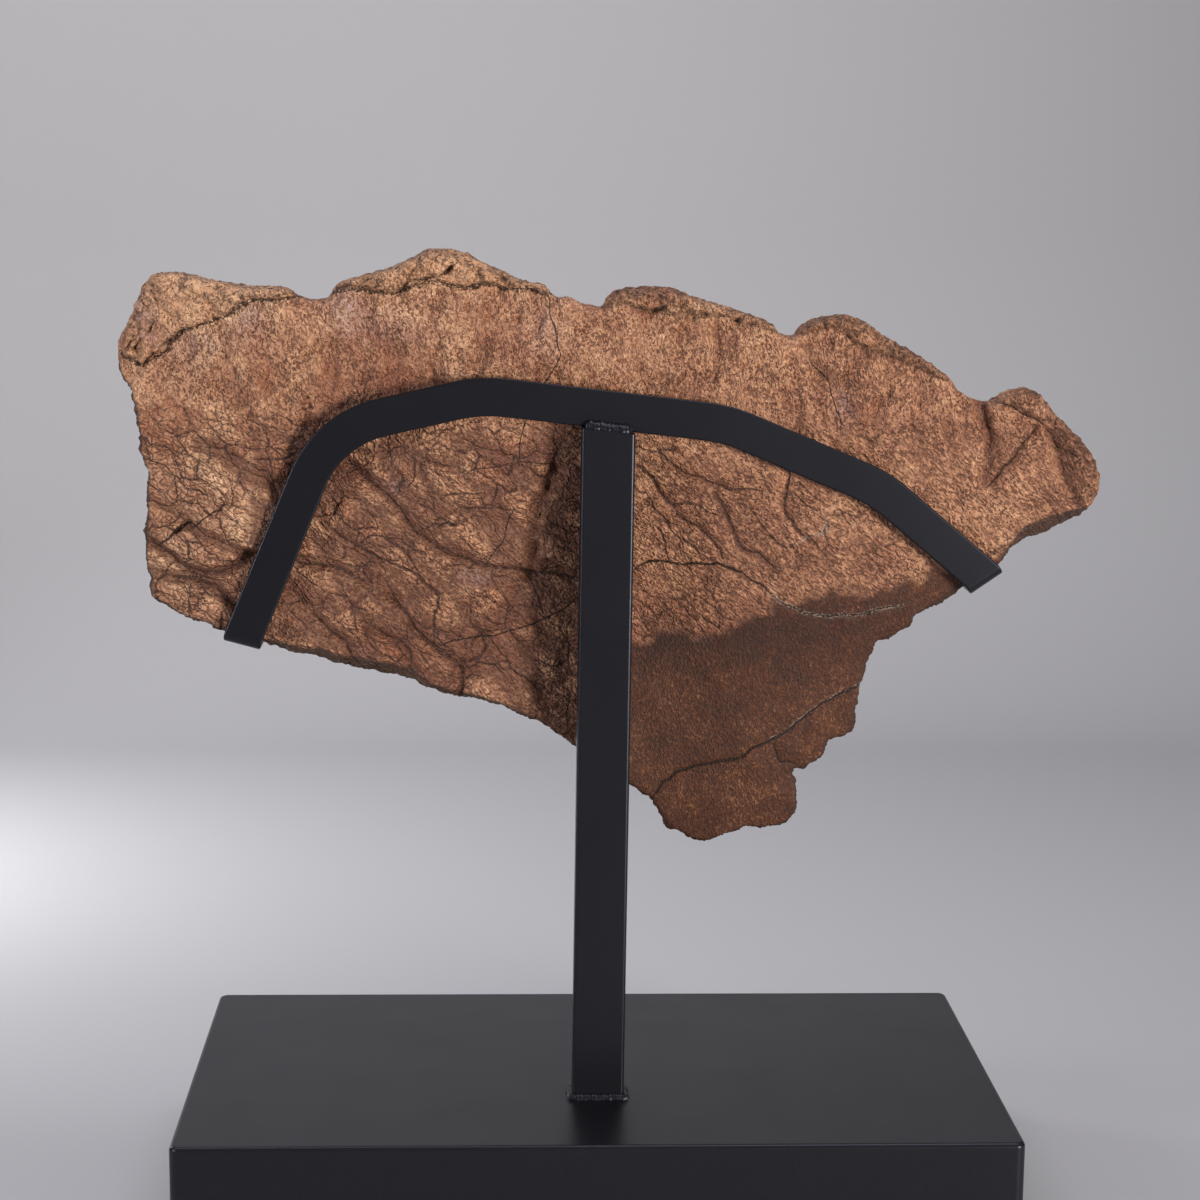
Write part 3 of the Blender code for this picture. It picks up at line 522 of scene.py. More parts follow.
# Fine lines where blood vessels ran, brown and less deep
VESSEL_LINES = (
    (((-200, 515), (-183, 506), (-169, 497), (-160, 493), (-146, 487), (-135, 478), (-126, 469),
      (-125, 459), (-129, 447), (-129, 431), (-122, 424)), 1.0, 0.9),
    (((-183, 507), (-173, 512), (-163, 511), (-153, 504), (-145, 495), (-140, 485)), 0.9, 0.7),
    (((-191, 566), (-172, 550), (-160, 541), (-150, 527), (-142, 515), (-126, 504), (-106, 494), (-93, 490),
      (-74, 487), (-54, 484), (-24, 480)), 1.0, 0.9),
    (((-159, 467), (-148, 452), (-139, 440), (-129, 431), (-117, 424), (-109, 413), (-109, 396)), 1.1, 0.9),
    (((-152, 575), (-143, 568), (-142, 559), (-143, 553), (-149, 547)), 0.6, 0.6),
    (((-98, 562), (-81, 563), (-67, 567), (-45, 565)), 0.6, 0.5),
    (((-124, 543), (-108, 543), (-91, 542)), 0.7, 0.6),
    (((-113, 534), (-93, 532), (-80, 533)), 0.7, 0.5),
    (((-63, 486), (-52, 466), (-48, 450)), 0.8, 0.6),
    (((-104, 449), (-95, 441), (-91, 430), (-96, 422), (-112, 417)), 0.9, 0.6),
    (((-77, 427), (-73, 414), (-63, 408), (-52, 396)), 0.8, 0.6),
    (((-54, 419), (-41, 415), (-31, 420), (-30, 429), (-38, 446)), 0.8, 0.6),
    (((-216, 456), (-202, 443), (-191, 435), (-188, 422)), 1.0, 0.8),
    (((-166, 441), (-152, 435), (-145, 425), (-146, 412)), 0.9, 0.7),
    (((-240, 500), (-222, 493), (-203, 490), (-188, 484), (-178, 478)), 0.9, 0.7),
    (((-304, 477), (-303, 457)), 0.8, 0.9),
    (((-280, 461), (-281, 443)), 0.8, 1.0),
    (((-258, 566), (-244, 567), (-231, 567), (-224, 574)), 0.7, 0.6),
    (((-333, 508), (-321, 501), (-306, 489), (-294, 485), (-281, 487), (-269, 492)), 1.0, 0.9),
    (((-317, 482), (-299, 481), (-286, 476), (-279, 469), (-270, 461), (-262, 452)), 1.1, 0.9),
    (((16, 578), (32, 573), (42, 565), (50, 559), (62, 555), (73, 551), (83, 547), (93, 548), (106, 545)),
     0.8, 0.6),
    (((14, 565), (26, 556), (37, 539), (44, 532)), 1.1, 0.9),
    (((40, 536), (53, 538), (60, 536), (69, 529), (78, 527)), 0.9, 0.6),
    (((44, 529), (61, 520), (70, 511), (76, 502), (79, 494)), 0.9, 0.6),
    (((73, 544), (80, 534), (84, 523), (89, 512), (94, 504), (105, 501), (116, 491)), 1.0, 0.8),
    (((126, 560), (124, 548), (122, 539), (123, 530), (131, 519), (141, 511)), 0.8, 0.6),
    (((126, 547), (134, 540), (147, 532)), 0.6, 0.5),
    (((129, 554), (140, 545), (152, 536)), 0.6, 0.5),
    (((29, 522), (35, 512), (37, 501), (41, 493)), 0.7, 0.5),
    (((20, 540), (34, 528), (44, 514), (60, 503), (66, 494)), 0.7, 0.5),
    (((98, 535), (106, 524), (113, 512), (126, 503)), 0.7, 0.5),
    (((58, 470), (72, 462), (80, 452), (80, 446)), 0.6, 0.5),
    (((303, 594), (294, 583), (283, 569), (273, 555), (265, 549)), 0.7, 0.5),
)

# Deep clefts and holes: a notch at the left rim, two holes left of the post, and those along the
# marginal bones. Each has its places, half width and depth.
CLEFTS = (
    (((-314, 513), (-307, 519)), 1.9, 3.5),
    (((-46, 551), (-50, 545)), 1.5, 3.4),
    (((-50, 531), (-54, 524)), 1.3, 3.0),
    (((-348, 640), (-339, 652), (-331, 657)), 1.0, 2.6),
    (((-340, 640), (-334, 653), (-327, 659), (-319, 668)), 1.0, 2.8),
    (((-324, 678), (-317, 687)), 1.0, 2.0),
    (((-323, 641), (-316, 649), (-304, 656)), 1.3, 3.6),
    (((-196, 686), (-188, 690), (-180, 691), (-172, 696)), 1.2, 3.6),
    (((-160, 689), (-152, 687), (-145, 694), (-136, 694), (-128, 697), (-120, 699), (-113, 706)), 1.2, 4.4),
    (((-122, 692), (-112, 690), (-101, 690), (-93, 694), (-94, 700)), 1.0, 2.6),
    (((-140, 703), (-131, 706), (-122, 704)), 0.8, 1.8),
    (((-100, 700), (-88, 697), (-74, 696)), 0.9, 2.0),
    (((-181, 697), (-170, 691), (-161, 690)), 0.8, 1.8),
    (((-80, 690), (-76, 690)), 1.5, 3.0),
    (((-61, 688), (-56, 688)), 2.2, 3.5),
    (((-49, 684), (-42, 680), (-32, 682)), 0.9, 2.0),
    (((14, 677), (24, 674), (36, 676)), 1.9, 4.4),
    (((57, 671), (65, 673)), 1.4, 2.6),
    (((83, 668), (97, 665)), 1.8, 3.4),
    (((147, 663), (151, 663)), 1.8, 3.0),
    (((165, 653), (171, 651), (177, 648)), 1.7, 3.6),
    (((200, 646), (204, 645)), 1.6, 2.6),
    (((216, 638), (220, 637)), 1.6, 2.6),
    (((274, 610), (282, 608), (290, 606), (296, 602), (303, 596)), 0.9, 2.2),
)
# The far face's channels, with their full depth
FAR_CHANNELS = (
    (((-300, 640), (-240, 600), (-170, 530), (-110, 440)), 6, 2.6, 0.8),
    (((-110, 690), (-100, 620), (-60, 540), (-20, 450)), 6, 2.8, 0.8),
    (((40, 670), (35, 600), (50, 520), (60, 430)), 7, 2.6, 0.8),
    (((180, 645), (150, 580), (120, 510), (95, 400)), 6, 2.6, 0.8),
    (((300, 590), (240, 560), (180, 510), (140, 450)), 5, 2.2, 0.8),
    (((-170, 530), (-190, 480), (-230, 445)), 4, 1.8, 0.7),
    (((50, 520), (10, 480), (0, 420)), 4, 1.8, 0.7),
)

# The strap's middle line, with both legs run on past their hooks
STRAP_LINE = (
    tuple(Vector(STRAP_CORNERS[0]) + 180 * LEFT_LEG), *STRAP_CORNERS,
    tuple(Vector(STRAP_CORNERS[-1]) + 120 * RIGHT_LEG),
)
STRAP_GAP = 0.4  # least gap between the strap's back and the bone
STRAP_GAP_BORDER = 2  # how far the gap reaches past the strap's edges

# Hollow face, by how far it lies behind the strap's back. A dip is centre, radii and depth, and a
# depth below zero brings the face forward.
FACE_CLEARANCE = 2.3
MIDDLE_DIP = ((-20, 450), (150, 85), 20)
LEFT_DIP = ((-185, 600), (55, 40), 10)
LEG_RISE = ((-246, 500), (24, 60), -2.4)
LEFT_SWELLING = ((-284, 520), (26, 60), -3.6)
FLANK_START = (15.6, 435.2)
FLANK_DOWNHILL = (0.274, -0.962)
FLANK_SLOPE = 0.22
FLANK_SOFTNESS = 10
LEFT_TURN_X = -270
LEFT_TURN_SLOPE = 0.10
LEFT_TURN_SOFTNESS = 12
BONE_THICKNESS = 21.0
MARGIN_EXTRA = 9.0
MARGIN_REACH = 55.0
TIP_LOSS = 6.0
TIP_START = (-20, 470)
TIP_REACH = (60, 150)
MARGIN_ROUNDING = (15, 0.35)
NEAR_MARGIN_ROUNDING = (6, 0.6)
BREAK_ROUNDING = (2, 0.92)
# Where the break is bevelled towards the hollow face: centre, radii and extra width of the bevel
BREAK_BEVELS = (((-175, 425), (85, 40), 7), ((313, 522), (30, 18), 11), ((255, 478), (40, 20), 4))
BEVEL_WIDTH = 1.5
BEVEL_SLOPE = 0.8
# The upper edge of the smooth lower right flank, and how far it wanders
FLANK_BORDER = (
    (-30, 424), (21, 434), (64, 442), (93, 449), (122, 462), (136, 468), (157, 472), (186, 474),
    (207, 482), (229, 488),
)
FLANK_BORDER_WANDER = 9

# How much the drawn lines wander: size of the bends, their place in the noise, and reach
WANDERS = ((13, 3.3, 1.9), (4, 8.1, 0.6))
noise.seed_set(5)  # without a seed, noise_vector starts from the clock
# Fine forms of the hollow face
CHANNEL_GAIN = 2.2
LINE_SOFTNESS = 0.5
PAD_HEIGHT = 2.2
PAD_SLANT_DEG = 38
PAD_WIDTH = 22
FURROW_DEPTH = 2.4
FLAKE_HEIGHT = 1.5

# How far the bone keeps from the hooks, how far past a hook's edges, and how far up its leg
HOOK_GAP = 0.35
HOOK_BORDER = 4
HOOK_FADE = 5
HOOK_LEG_REACH = 60
# The crumbled rim: its width, the size of the crumbs, and their reach by where the rim is
CRUMBLE_WIDTH = 4
CRUMB_SIZE = 6
BREAK_CRUMBLE, MARGINAL_CRUMBLE, MARGIN_CRUMBLE = 1.9, 1.5, 0.9
CAD_BOX_INSET = 0.3

OUTLINE_SPACING = 3.0
HALF_SLAB = 6.0
VOXEL = 1.35
BONE_TRIANGLES = 192000


def signed_run(points, x, z):
    """Signed distance from a line whose ends run on straight, the place along it, and its length."""
    nearest = np.full(len(x), 1e9)
    signed, place = np.zeros(len(x)), np.zeros(len(x))
    run, last = 0.0, len(points) - 2
    for i, ((x0, z0), (x1, z1)) in enumerate(zip(points, points[1:])):
        dx, dz = x1 - x0, z1 - z0
        length = math.hypot(dx, dz)
        along = ((x - x0) * dx + (z - z0) * dz) / length**2
        along = np.clip(along, -1e6 if i == 0 else 0, 1e6 if i == last else 1)
        off_x, off_z = x - x0 - along * dx, z - z0 - along * dz
        distance = np.hypot(off_x, off_z)
        nearer = distance < nearest
        nearest = np.where(nearer, distance, nearest)
        signed = np.where(nearer, np.copysign(distance, dx * off_z - dz * off_x), signed)
        place = np.where(nearer, run + along * length, place)
        run += length
    return signed, place, run


def distance_to(points, x, z):
    """Distance from an open line that stops at its ends."""
    nearest = np.full(len(x), 1e9)
    for (x0, z0), (x1, z1) in zip(points, points[1:]):
        dx, dz = x1 - x0, z1 - z0
        along = np.clip(((x - x0) * dx + (z - z0) * dz) / (dx * dx + dz * dz), 0, 1)
        nearest = np.minimum(nearest, np.hypot(x - x0 - along * dx, z - z0 - along * dz))
    return nearest


def inside(points, x, z):
    """Which places lie inside a closed line."""
    found = np.zeros(len(x), bool)
    for (x0, z0), (x1, z1) in zip(points, points[1:] + points[:1]):
        if z0 != z1:
            found ^= ((z0 > z) != (z1 > z)) & (x < x0 + (z - z0) * (x1 - x0) / (z1 - z0))
    return found


def hump(x, z, centre, radii, height):
    """A soft round rise of a height at its centre."""
    return height * np.exp(-(((x - centre[0]) / radii[0]) ** 2) - ((z - centre[1]) / radii[1]) ** 2)


def ramp(distance, softness):
    """Zero below 0, then rising one for one, with a soft start."""
    return softness * np.logaddexp(0, distance / softness)


def smooth(value, low, high):
    """0 at low, 1 at high, with soft ends."""
    share = np.clip((value - low) / (high - low), 0, 1)
    return share * share * (3 - 2 * share)


def rounding(distance, radius, rim):
    """How full the section is at a distance from the rim: rim at the rim itself, 1 beyond the radius."""
    near = 1 - np.clip(distance / radius, 0, 1)
    return rim + (1 - rim) * np.sqrt(1 - near * near)


def scaled(x, z, size):
    """The places one by one, as pairs measured in size."""
    return zip((x / size).tolist(), (z / size).tolist())


def swells(x, z, size, seed, octaves=3):
    """Smooth random heights, from about -1 to 1, whose swells are about size wide."""
    return np.array([noise.fractal((a, b, seed), 0.9, 2.1, octaves) for a, b in scaled(x, z, size)])


def cells(x, z, size, seed):
    """0 along the borders of random cells about size wide, rising to about 1 in their middles."""
    near = []
    for a, b in scaled(x, z, size):
        first, second = noise.voronoi((a, b, seed))[0][:2]
        near.append(second - first)
    return np.array(near)


def wander(x, z):
    """The places, shifted a little, so that lines drawn from a few points wander as real ones do."""
    wandered_x, wandered_z = x, z
    for size, seed, reach in WANDERS:
        shift = np.array([noise.noise_vector((a, b, seed)) for a, b in scaled(x, z, size)])
        wandered_x = wandered_x + reach * shift[:, 0]
        wandered_z = wandered_z + reach * shift[:, 1]
    return wandered_x, wandered_z


def channel_share(channels, x, z):
    """Depth of the channels, and how stained the place is."""
    depth, stain = np.zeros(len(x)), np.zeros(len(x))
    for points, half_width, deep, dark in channels:
        share = np.exp(-((distance_to(points, x, z) / half_width) ** 2))
        depth += deep * share
        stain = np.maximum(stain, dark * share)
    return depth, stain


def cleft_depth(x, z):
    """Depth of the sutures, clefts and holes round the marginal bones."""
    depth = np.zeros(len(x))
    for suture, *_, deep in MARGINAL_BONES:
        signed, place, length = signed_run(suture, x, z)
        strength = 0.55 + 0.45 * np.sin(place / 5.3 + suture[0][0]) * np.sin(place / 8.9)
        strength *= smooth(place, -4, 4) * smooth(length - place, -4, 4)
        depth = np.maximum(depth, deep * strength * np.exp(-((signed / SUTURE_HALF_WIDTH) ** 2)))
    for points, half_width, deep in CLEFTS:
        signed, place, length = signed_run(points, x, z)
        open_share = smooth(np.minimum(place, length - place), -half_width, 4)
        open_share *= 0.75 + 0.25 * np.sin(place / 2.7 + points[0][0])
        depth = np.maximum(depth, deep * open_share * np.exp(-((signed / half_width) ** 4)))
    return depth


def line_depth(x, z):
    """Depth of the cracks and vessel lines."""
    depth = np.zeros(len(x))
    for points, half_width, deep in CRACKS + VESSEL_LINES:
        share = np.exp(-((distance_to(points, x, z) / (half_width + LINE_SOFTNESS)) ** 2))
        depth = np.maximum(depth, deep * share)
    return depth


def line_value(lines, x, z):
    """Signed distance from the nearest line, in its half widths; a line closes towards its ends."""
    value = np.full(len(x), 50.0)
    for points, half_width, _ in lines:
        signed, place, length = signed_run(points, x, z)
        open_share = np.sqrt(np.clip(np.minimum(place, length - place) / 9, 0, 1))
        here = signed / (half_width * open_share + 0.02)
        value = np.where(np.abs(here) < np.abs(value), here, value)
    return np.clip(value, -50, 50)


def hollow(x, z):
    """How far the hollow face lies behind the strap's back."""
    downhill = (x - FLANK_START[0]) * FLANK_DOWNHILL[0] + (z - FLANK_START[1]) * FLANK_DOWNHILL[1]
    broken_flank = FLANK_SLOPE * ramp(downhill, FLANK_SOFTNESS)
    left_turn = LEFT_TURN_SLOPE * ramp(LEFT_TURN_X - x, LEFT_TURN_SOFTNESS)
    dips = sum(hump(x, z, *dip) for dip in (MIDDLE_DIP, LEFT_DIP, LEG_RISE, LEFT_SWELLING))
    return FACE_CLEARANCE + dips + broken_flank + left_turn


def thickness(x, z, to_margin):
    """The bone's thickness: more at the natural margin, less towards the lower tip."""
    near_margin = MARGIN_EXTRA * np.exp(-((to_margin / MARGIN_REACH) ** 2))
    inward = np.clip((x - TIP_START[0]) / TIP_REACH[0], 0, 1)
    down = np.clip((TIP_START[1] - z) / TIP_REACH[1], 0, 1)
    return BONE_THICKNESS + near_margin - TIP_LOSS * inward * down


def marginal_relief(x, z):
    """Height of the marginal bones above the face, and which places are on one."""
    relief, on = np.zeros(len(x)), np.zeros(len(x), bool)
    for suture, beyond, middle, proud, crown, _ in MARGINAL_BONES:
        above = inside(list(suture) + [beyond], x, z)
        step = 1 - np.exp(-distance_to(suture, x, z) / MARGINAL_STEP_WIDTH)
        relief = np.where(above, (proud + hump(x, z, middle, MARGINAL_CROWN_RADII, crown)) * step, relief)
        on |= above
    return relief, on


def rim_distances(x, z):
    """Distances from the natural margin and from the break."""
    to_margin = distance_to(MARGIN, x, z)
    to_break = distance_to(MARGIN[-1:] + BROKEN_RIM + MARGIN[:1], x, z)
    return to_margin, to_break


def bevel_width(x, z):
    """How wide the break is bevelled towards the hollow face."""
    return BEVEL_WIDTH + sum(hump(x, z, *bevel) for bevel in BREAK_BEVELS)


def flank_share(x, z):
    """1 on the smooth lower right flank, 0 elsewhere."""
    signed, _, _ = signed_run(FLANK_BORDER, x, z)
    below = FLANK_BORDER_WANDER * swells(x, z, size=14, seed=13) - signed
    return smooth(below, -4, 5) * smooth(x, -32, 8)


def furrows(x, z):
    """Shallow upright furrows on the upper band: 0 on the low swellings between them, about 1 in a furrow."""
    share = smooth(swells(x, 0.45 * z, size=15, seed=51, octaves=2), 0.0, 0.3)
    share += 0.5 * smooth(swells(x, z, size=9, seed=52, octaves=2), 0.0, 0.25)
    return share * smooth(z, 560, 610) * (1 - flank_share(x, z))


def flake_gaps(x, z):
    """Long flakes lying along the rim of the marginal bones: 1 in the gaps between them, 0 on them."""
    return 1 - smooth(cells(0.45 * x, z + 0.35 * x, size=8, seed=7), 0.0, 0.2)


def pads(x, z):
    """Raised pads between troughs on the lower left: each place's height, and how far it is in a trough."""
    slant = math.radians(PAD_SLANT_DEG)
    u, v = x * math.cos(slant) - z * math.sin(slant), x * math.sin(slant) + z * math.cos(slant)
    u = 0.5 * u + 3 * swells(x, z, size=20, seed=5, octaves=1)
    v = v + 2 * swells(x, z, size=12, seed=8, octaves=1)
    share = smooth(cells(u, v, PAD_WIDTH, seed=4), 0.05, 0.45)
    zone = (1 - flank_share(x, z)) * smooth(620 - z, 0, 50) * (1 - 0.75 * smooth(x, -40, 20))
    zone *= smooth(x, -272, -252)
    return (share - 0.6) * zone, (1 - share) * zone


def faces(x, z):
    """Depths (y) of the hollow face and of the far face."""
    to_margin, to_break = rim_distances(x, z)
    wx, wz = wander(x, z)
    near = strap_back / MM + hollow(x, z)
    far = near + thickness(x, z, to_margin)
    relief, on = marginal_relief(x, z)
    channels, _ = channel_share(CHANNELS, wx, wz)
    far_channels, _ = channel_share(FAR_CHANNELS, wx, wz)
    near += CHANNEL_GAIN * channels + line_depth(wx, wz) + cleft_depth(wx, wz) - relief
    uneven = 1.3 * swells(x, z, size=17, seed=12, octaves=2) + 0.5 * swells(x, z, size=7, seed=2)
    near += 0.9 * swells(x, z, size=45, seed=1) + (1 - 0.75 * flank_share(x, z)) * uneven
    near -= PAD_HEIGHT * pads(x, z)[0]
    near += FURROW_DEPTH * furrows(x, z)
    flakes = np.zeros(len(x))
    flakes[on] = swells(wx[on], wz[on], size=8, seed=6) + (1 - flake_gaps(wx[on], wz[on]))
    near -= FLAKE_HEIGHT * flakes
    far += relief - far_channels + 2.0 * swells(x, z, size=60, seed=9) + 0.6 * swells(x, z, size=9, seed=11)
    near += BEVEL_SLOPE * np.clip(bevel_width(x, z) - to_break, 0, None)
    at_break = rounding(to_break, *BREAK_ROUNDING)
    near_share = np.minimum(rounding(to_margin, *NEAR_MARGIN_ROUNDING), at_break)
    far_share = np.minimum(rounding(to_margin, *MARGIN_ROUNDING), at_break)
    middle, half = (near + far) / 2, (far - near) / 2
    near, far = middle - half * near_share, middle + half * far_share
    behind_strap = distance_to(STRAP_LINE, x, z) < STRAP_WIDTH / MM / 2 + STRAP_GAP_BORDER
    return np.where(behind_strap, np.maximum(near, strap_back / MM + STRAP_GAP), near), far


def smooth_line(points, spacing):
    """A Catmull-Rom curve through all but the first and last point, with a place about every spacing."""
    placed = []
    for before, start, stop, after in zip(points, points[1:], points[2:], points[3:]):
        before, start, stop, after = (np.array(p, float) for p in (before, start, stop, after))
        steps = max(1, round(math.dist(start, stop) / spacing))
        for t in np.arange(steps) / steps:
            placed.append(0.5 * (2 * start + (stop - before) * t + (2 * before - 5 * start + 4 * stop - after)
                                 * t * t + (3 * start - before - 3 * stop + after) * t**3))
    return placed


def keep_off_hooks(points):
    """Keeps the bone's rim off each hook's floor and lip, and its face off the leg above the hook."""
    edge = STRAP_WIDTH / MM / 2 + HOOK_BORDER
    lip_height = HOOK_LIP_HEIGHT / MM
    for hook, leg in ((LEFT_HOOK, LEFT_LEG), (RIGHT_HOOK, RIGHT_LEG)):
        across = np.array(hook["fold"].normalized())
        outward = np.array((-across[1], across[0]))
        outward *= math.copysign(1, outward @ np.array(leg))
        offset = points[:, [0, 2]] - np.array(hook["seat"])
        beside = np.abs(offset @ across)
        held = 1 - smooth(beside, edge, edge + HOOK_FADE)
        past = offset @ outward
        push = np.where(held > 0, np.maximum(past + HOOK_GAP, 0) * held, 0)
        points[:, 0] -= push * outward[0]
        points[:, 2] -= push * outward[1]
        lip = (strap_back + HOOK_DEPTH) / MM - HOOK_GAP
        near_lip = held * (1 - smooth(-past, lip_height + 2, lip_height + 8))
        points[:, 1] -= np.maximum(points[:, 1] - lip, 0) * near_lip
        front = strap_back / MM + HOOK_GAP
        points[:, 1] += np.maximum(front - points[:, 1], 0) * held * (past > -HOOK_LEG_REACH)
    return points


loop = list(MARGIN) + list(BROKEN_RIM)
outline = smooth_line([loop[-1], *loop, loop[0], loop[1]], OUTLINE_SPACING)
bm = bmesh.new()
flat = bm.faces.new([bm.verts.new((px * MM, -HALF_SLAB * MM, pz * MM)) for px, pz in outline])
grown = bmesh.ops.extrude_face_region(bm, geom=[flat])["geom"]
bmesh.ops.translate(bm, verts=verts_in(grown), vec=(0, 2 * HALF_SLAB * MM, 0))
bmesh.ops.recalc_face_normals(bm, faces=bm.faces)
slab = new_object("slab", mesh_of(bm, "slab"))
remesh = slab.modifiers.new("remesh", "REMESH")
remesh.mode = "VOXEL"
remesh.voxel_size = VOXEL * MM


def evaluated_mesh(obj):
    """The object's mesh with its modifiers applied; the object is removed."""
    mesh = bpy.data.meshes.new_from_object(obj.evaluated_get(bpy.context.evaluated_depsgraph_get()))
    bpy.data.objects.remove(obj, do_unlink=True)
    return mesh


def coordinates(mesh, what="co"):
    """The mesh's vertex places, or its normals, as rows of an array."""
    values = np.empty(len(mesh.vertices) * 3)
    mesh.vertices.foreach_get(what, values)
    return values.reshape(-1, 3)


bone_mesh = evaluated_mesh(slab)
start = coordinates(bone_mesh) / MM
normals = coordinates(bone_mesh, "normal")
x, through, z = start[:, 0], np.clip(start[:, 1] / HALF_SLAB, -1, 1), start[:, 2]
near, far = faces(x, z)
shaped = np.stack([x, near + (far - near) * (through + 1) / 2, z], axis=1)
to_margin, to_break = rim_distances(x, z)
rim = np.flatnonzero(np.minimum(to_margin, to_break) < CRUMBLE_WIDTH)
crumble = np.array([noise.fractal(Vector(p) / CRUMB_SIZE, 0.6, 2.2, 3) for p in shaped[rim].tolist()])
on_marginal = marginal_relief(x[rim], z[rim])[1]
reach = np.where(on_marginal, MARGINAL_CRUMBLE, MARGIN_CRUMBLE)
reach = np.where(to_break[rim] < to_margin[rim], BREAK_CRUMBLE, reach)
reach *= 1 - smooth(np.minimum(to_margin, to_break)[rim], 1, CRUMBLE_WIDTH)
flat_normals = normals[rim] * (1, 0, 1)
shaped[rim] += flat_normals * (crumble * reach)[:, None]
box_low, box_high = (np.array(corner) / MM for corner in cad_box)
shaped = np.clip(keep_off_hooks(shaped), box_low + CAD_BOX_INSET, box_high - CAD_BOX_INSET)
bone_mesh.vertices.foreach_set("co", (shaped * MM).ravel())
bone_mesh.update()
rough_bone = new_object("rough_bone", bone_mesh)
thin_out = rough_bone.modifiers.new("thin_out", "DECIMATE")
thin_out.ratio = min(1, BONE_TRIANGLES / (2 * len(bone_mesh.polygons)))
bone_mesh = evaluated_mesh(rough_bone)
bone_mesh.name = "fossil_bone"


# --- Frill bone: surface ---
# Bone whose pores are filled with iron-stained mineral: matte and warm brown. The face is matted with
# short fibres, crossed by dark vessel lines, and browner and smoother where its outer layer has weathered.

# Lighter and darker areas: centre, radii and how much lighter. Three of them are painted shadow of the strap.
TONES = (
    ((-290, 610), (50, 40), -0.10), ((-310, 540), (90, 140), 0.16), ((-120, 665), (60, 20), 0.02),
    ((40, 640), (90, 30), -0.05), ((170, 610), (70, 40), -0.04),
    ((325, 555), (25, 30), -0.12), ((-130, 520), (90, 60), -0.12), ((-120, 440), (100, 45), -0.08),
    ((60, 480), (60, 30), -0.12), ((70, 540), (60, 25), -0.18), ((150, 490), (60, 30), -0.16),
    ((-300, 500), (40, 60), 0.13), ((-120, 510), (90, 60), 0.10), ((50, 445), (70, 22), -0.20),
    ((140, 440), (60, 20), -0.12), ((150, 380), (40, 30), 0.08), ((95, 315), (40, 20), 0.10),
    ((30, 345), (20, 25), 0.06),
    ((-295, 684), (45, 18), 0.85), ((225, 590), (120, 60), -0.12), ((-250, 620), (120, 40), -0.02),
    ((-120, 704), (70, 14), 0.28), ((60, 670), (60, 10), 0.10), ((25, 689), (50, 6), -0.30),
    ((150, 670), (40, 7), -0.34),
    ((215, 646), (32, 9), -0.34), ((290, 618), (28, 6), -0.20), ((336, 588), (12, 28), -0.24),
    # Painted shadow of the strap: round its upper left bend, just above it, and left of its left leg
    ((-205, 575), (18, 26), -0.30), ((-165, 620), (40, 10), -0.22), ((-235, 545), (12, 30), -0.12),
)
# Smoother spots, with a grey sheen painted into the colour as a painted reflection: centre, radii and
# strength
SHEENS = (((-257, 668), (9, 12), 1.0), ((-188, 674), (11, 15), 1.0), ((-330, 665), (8, 16), 0.8),
          ((-50, 660), (12, 20), 0.5), ((-156, 548), (6, 5), 0.6), ((-160, 660), (30, 12), 0.4),
          ((163, 607), (6, 10), 0.6), ((-300, 650), (30, 12), 0.5), ((-100, 480), (10, 8), 0.4))
# Open pores that also darken the face as painted shadow, beside the post and along the strap's upper left
# edge: centre, radii and strength
PORES_AND_PAINTED_SHADOWS = (((-32, 520), (13, 60), 1.0), ((-34, 410), (14, 60), 0.9), ((-190, 612), (34, 12), 0.9),
          ((-222, 585), (14, 26), 0.9), ((-120, 628), (40, 7), 0.6))
# Lines along which pale mineral crust lies
CRUSTS = (((112, 473), (124, 462), (137, 457), (157, 454), (176, 456), (194, 459), (212, 463)),
          ((152, 527), (154, 518), (148, 515), (139, 514), (128, 506)),
          ((119, 360), (133, 368), (145, 380), (157, 390), (173, 397), (184, 403)))
CRUST_HALF_WIDTH = 1.1
FLOW_WARP = 6.0  # how far the flow of the vessel lines is bent, in millimetres
FLOW_STEP = 0.5
FLOW_RIM = 25  # how far in from the rim the flow turns round the edge


def overlap_on(x, z):
    """Signed distance from the nearest suture, positive on the marginal bones, and the suture's depth."""
    _, on = marginal_relief(x, z)
    nearest, sharpness = np.full(len(x), 50.0), np.zeros(len(x))
    for suture, *_, deep in MARGINAL_BONES:
        distance = distance_to(suture, x, z)
        sharpness = np.where(distance < nearest, deep, sharpness)
        nearest = np.minimum(nearest, distance)
    return np.where(on, nearest, -nearest), sharpness


place = coordinates(bone_mesh) / MM
x, z = place[:, 0], place[:, 2]
near, far = faces(x, z)
front = 1 - smooth((place[:, 1] - near) / (far - near), 0.25, 0.75)
wx, wz = wander(x, z)
to_margin, to_break = rim_distances(x, z)
_, stain = channel_share(CHANNELS, wx, wz)
stain = np.maximum(stain, 0.65 * pads(x, z)[1])
_, far_stain = channel_share(FAR_CHANNELS, wx, wz)
crust = np.zeros(len(x))
for points in CRUSTS:
    crust = np.maximum(crust, np.exp(-((distance_to(points, wx, wz) / CRUST_HALF_WIDTH) ** 2)))
patches = 0.45 * swells(x, z, 30, 21, 3) + 0.3 * swells(x, z, 12, 22, 3)
overlap, suture_depth = overlap_on(x, z)
off_flank = 1 - flank_share(x, z)
flaked = 0.45 * flake_gaps(wx, wz) * marginal_relief(x, z)[1] * (1 - smooth(to_margin, 8, 24))
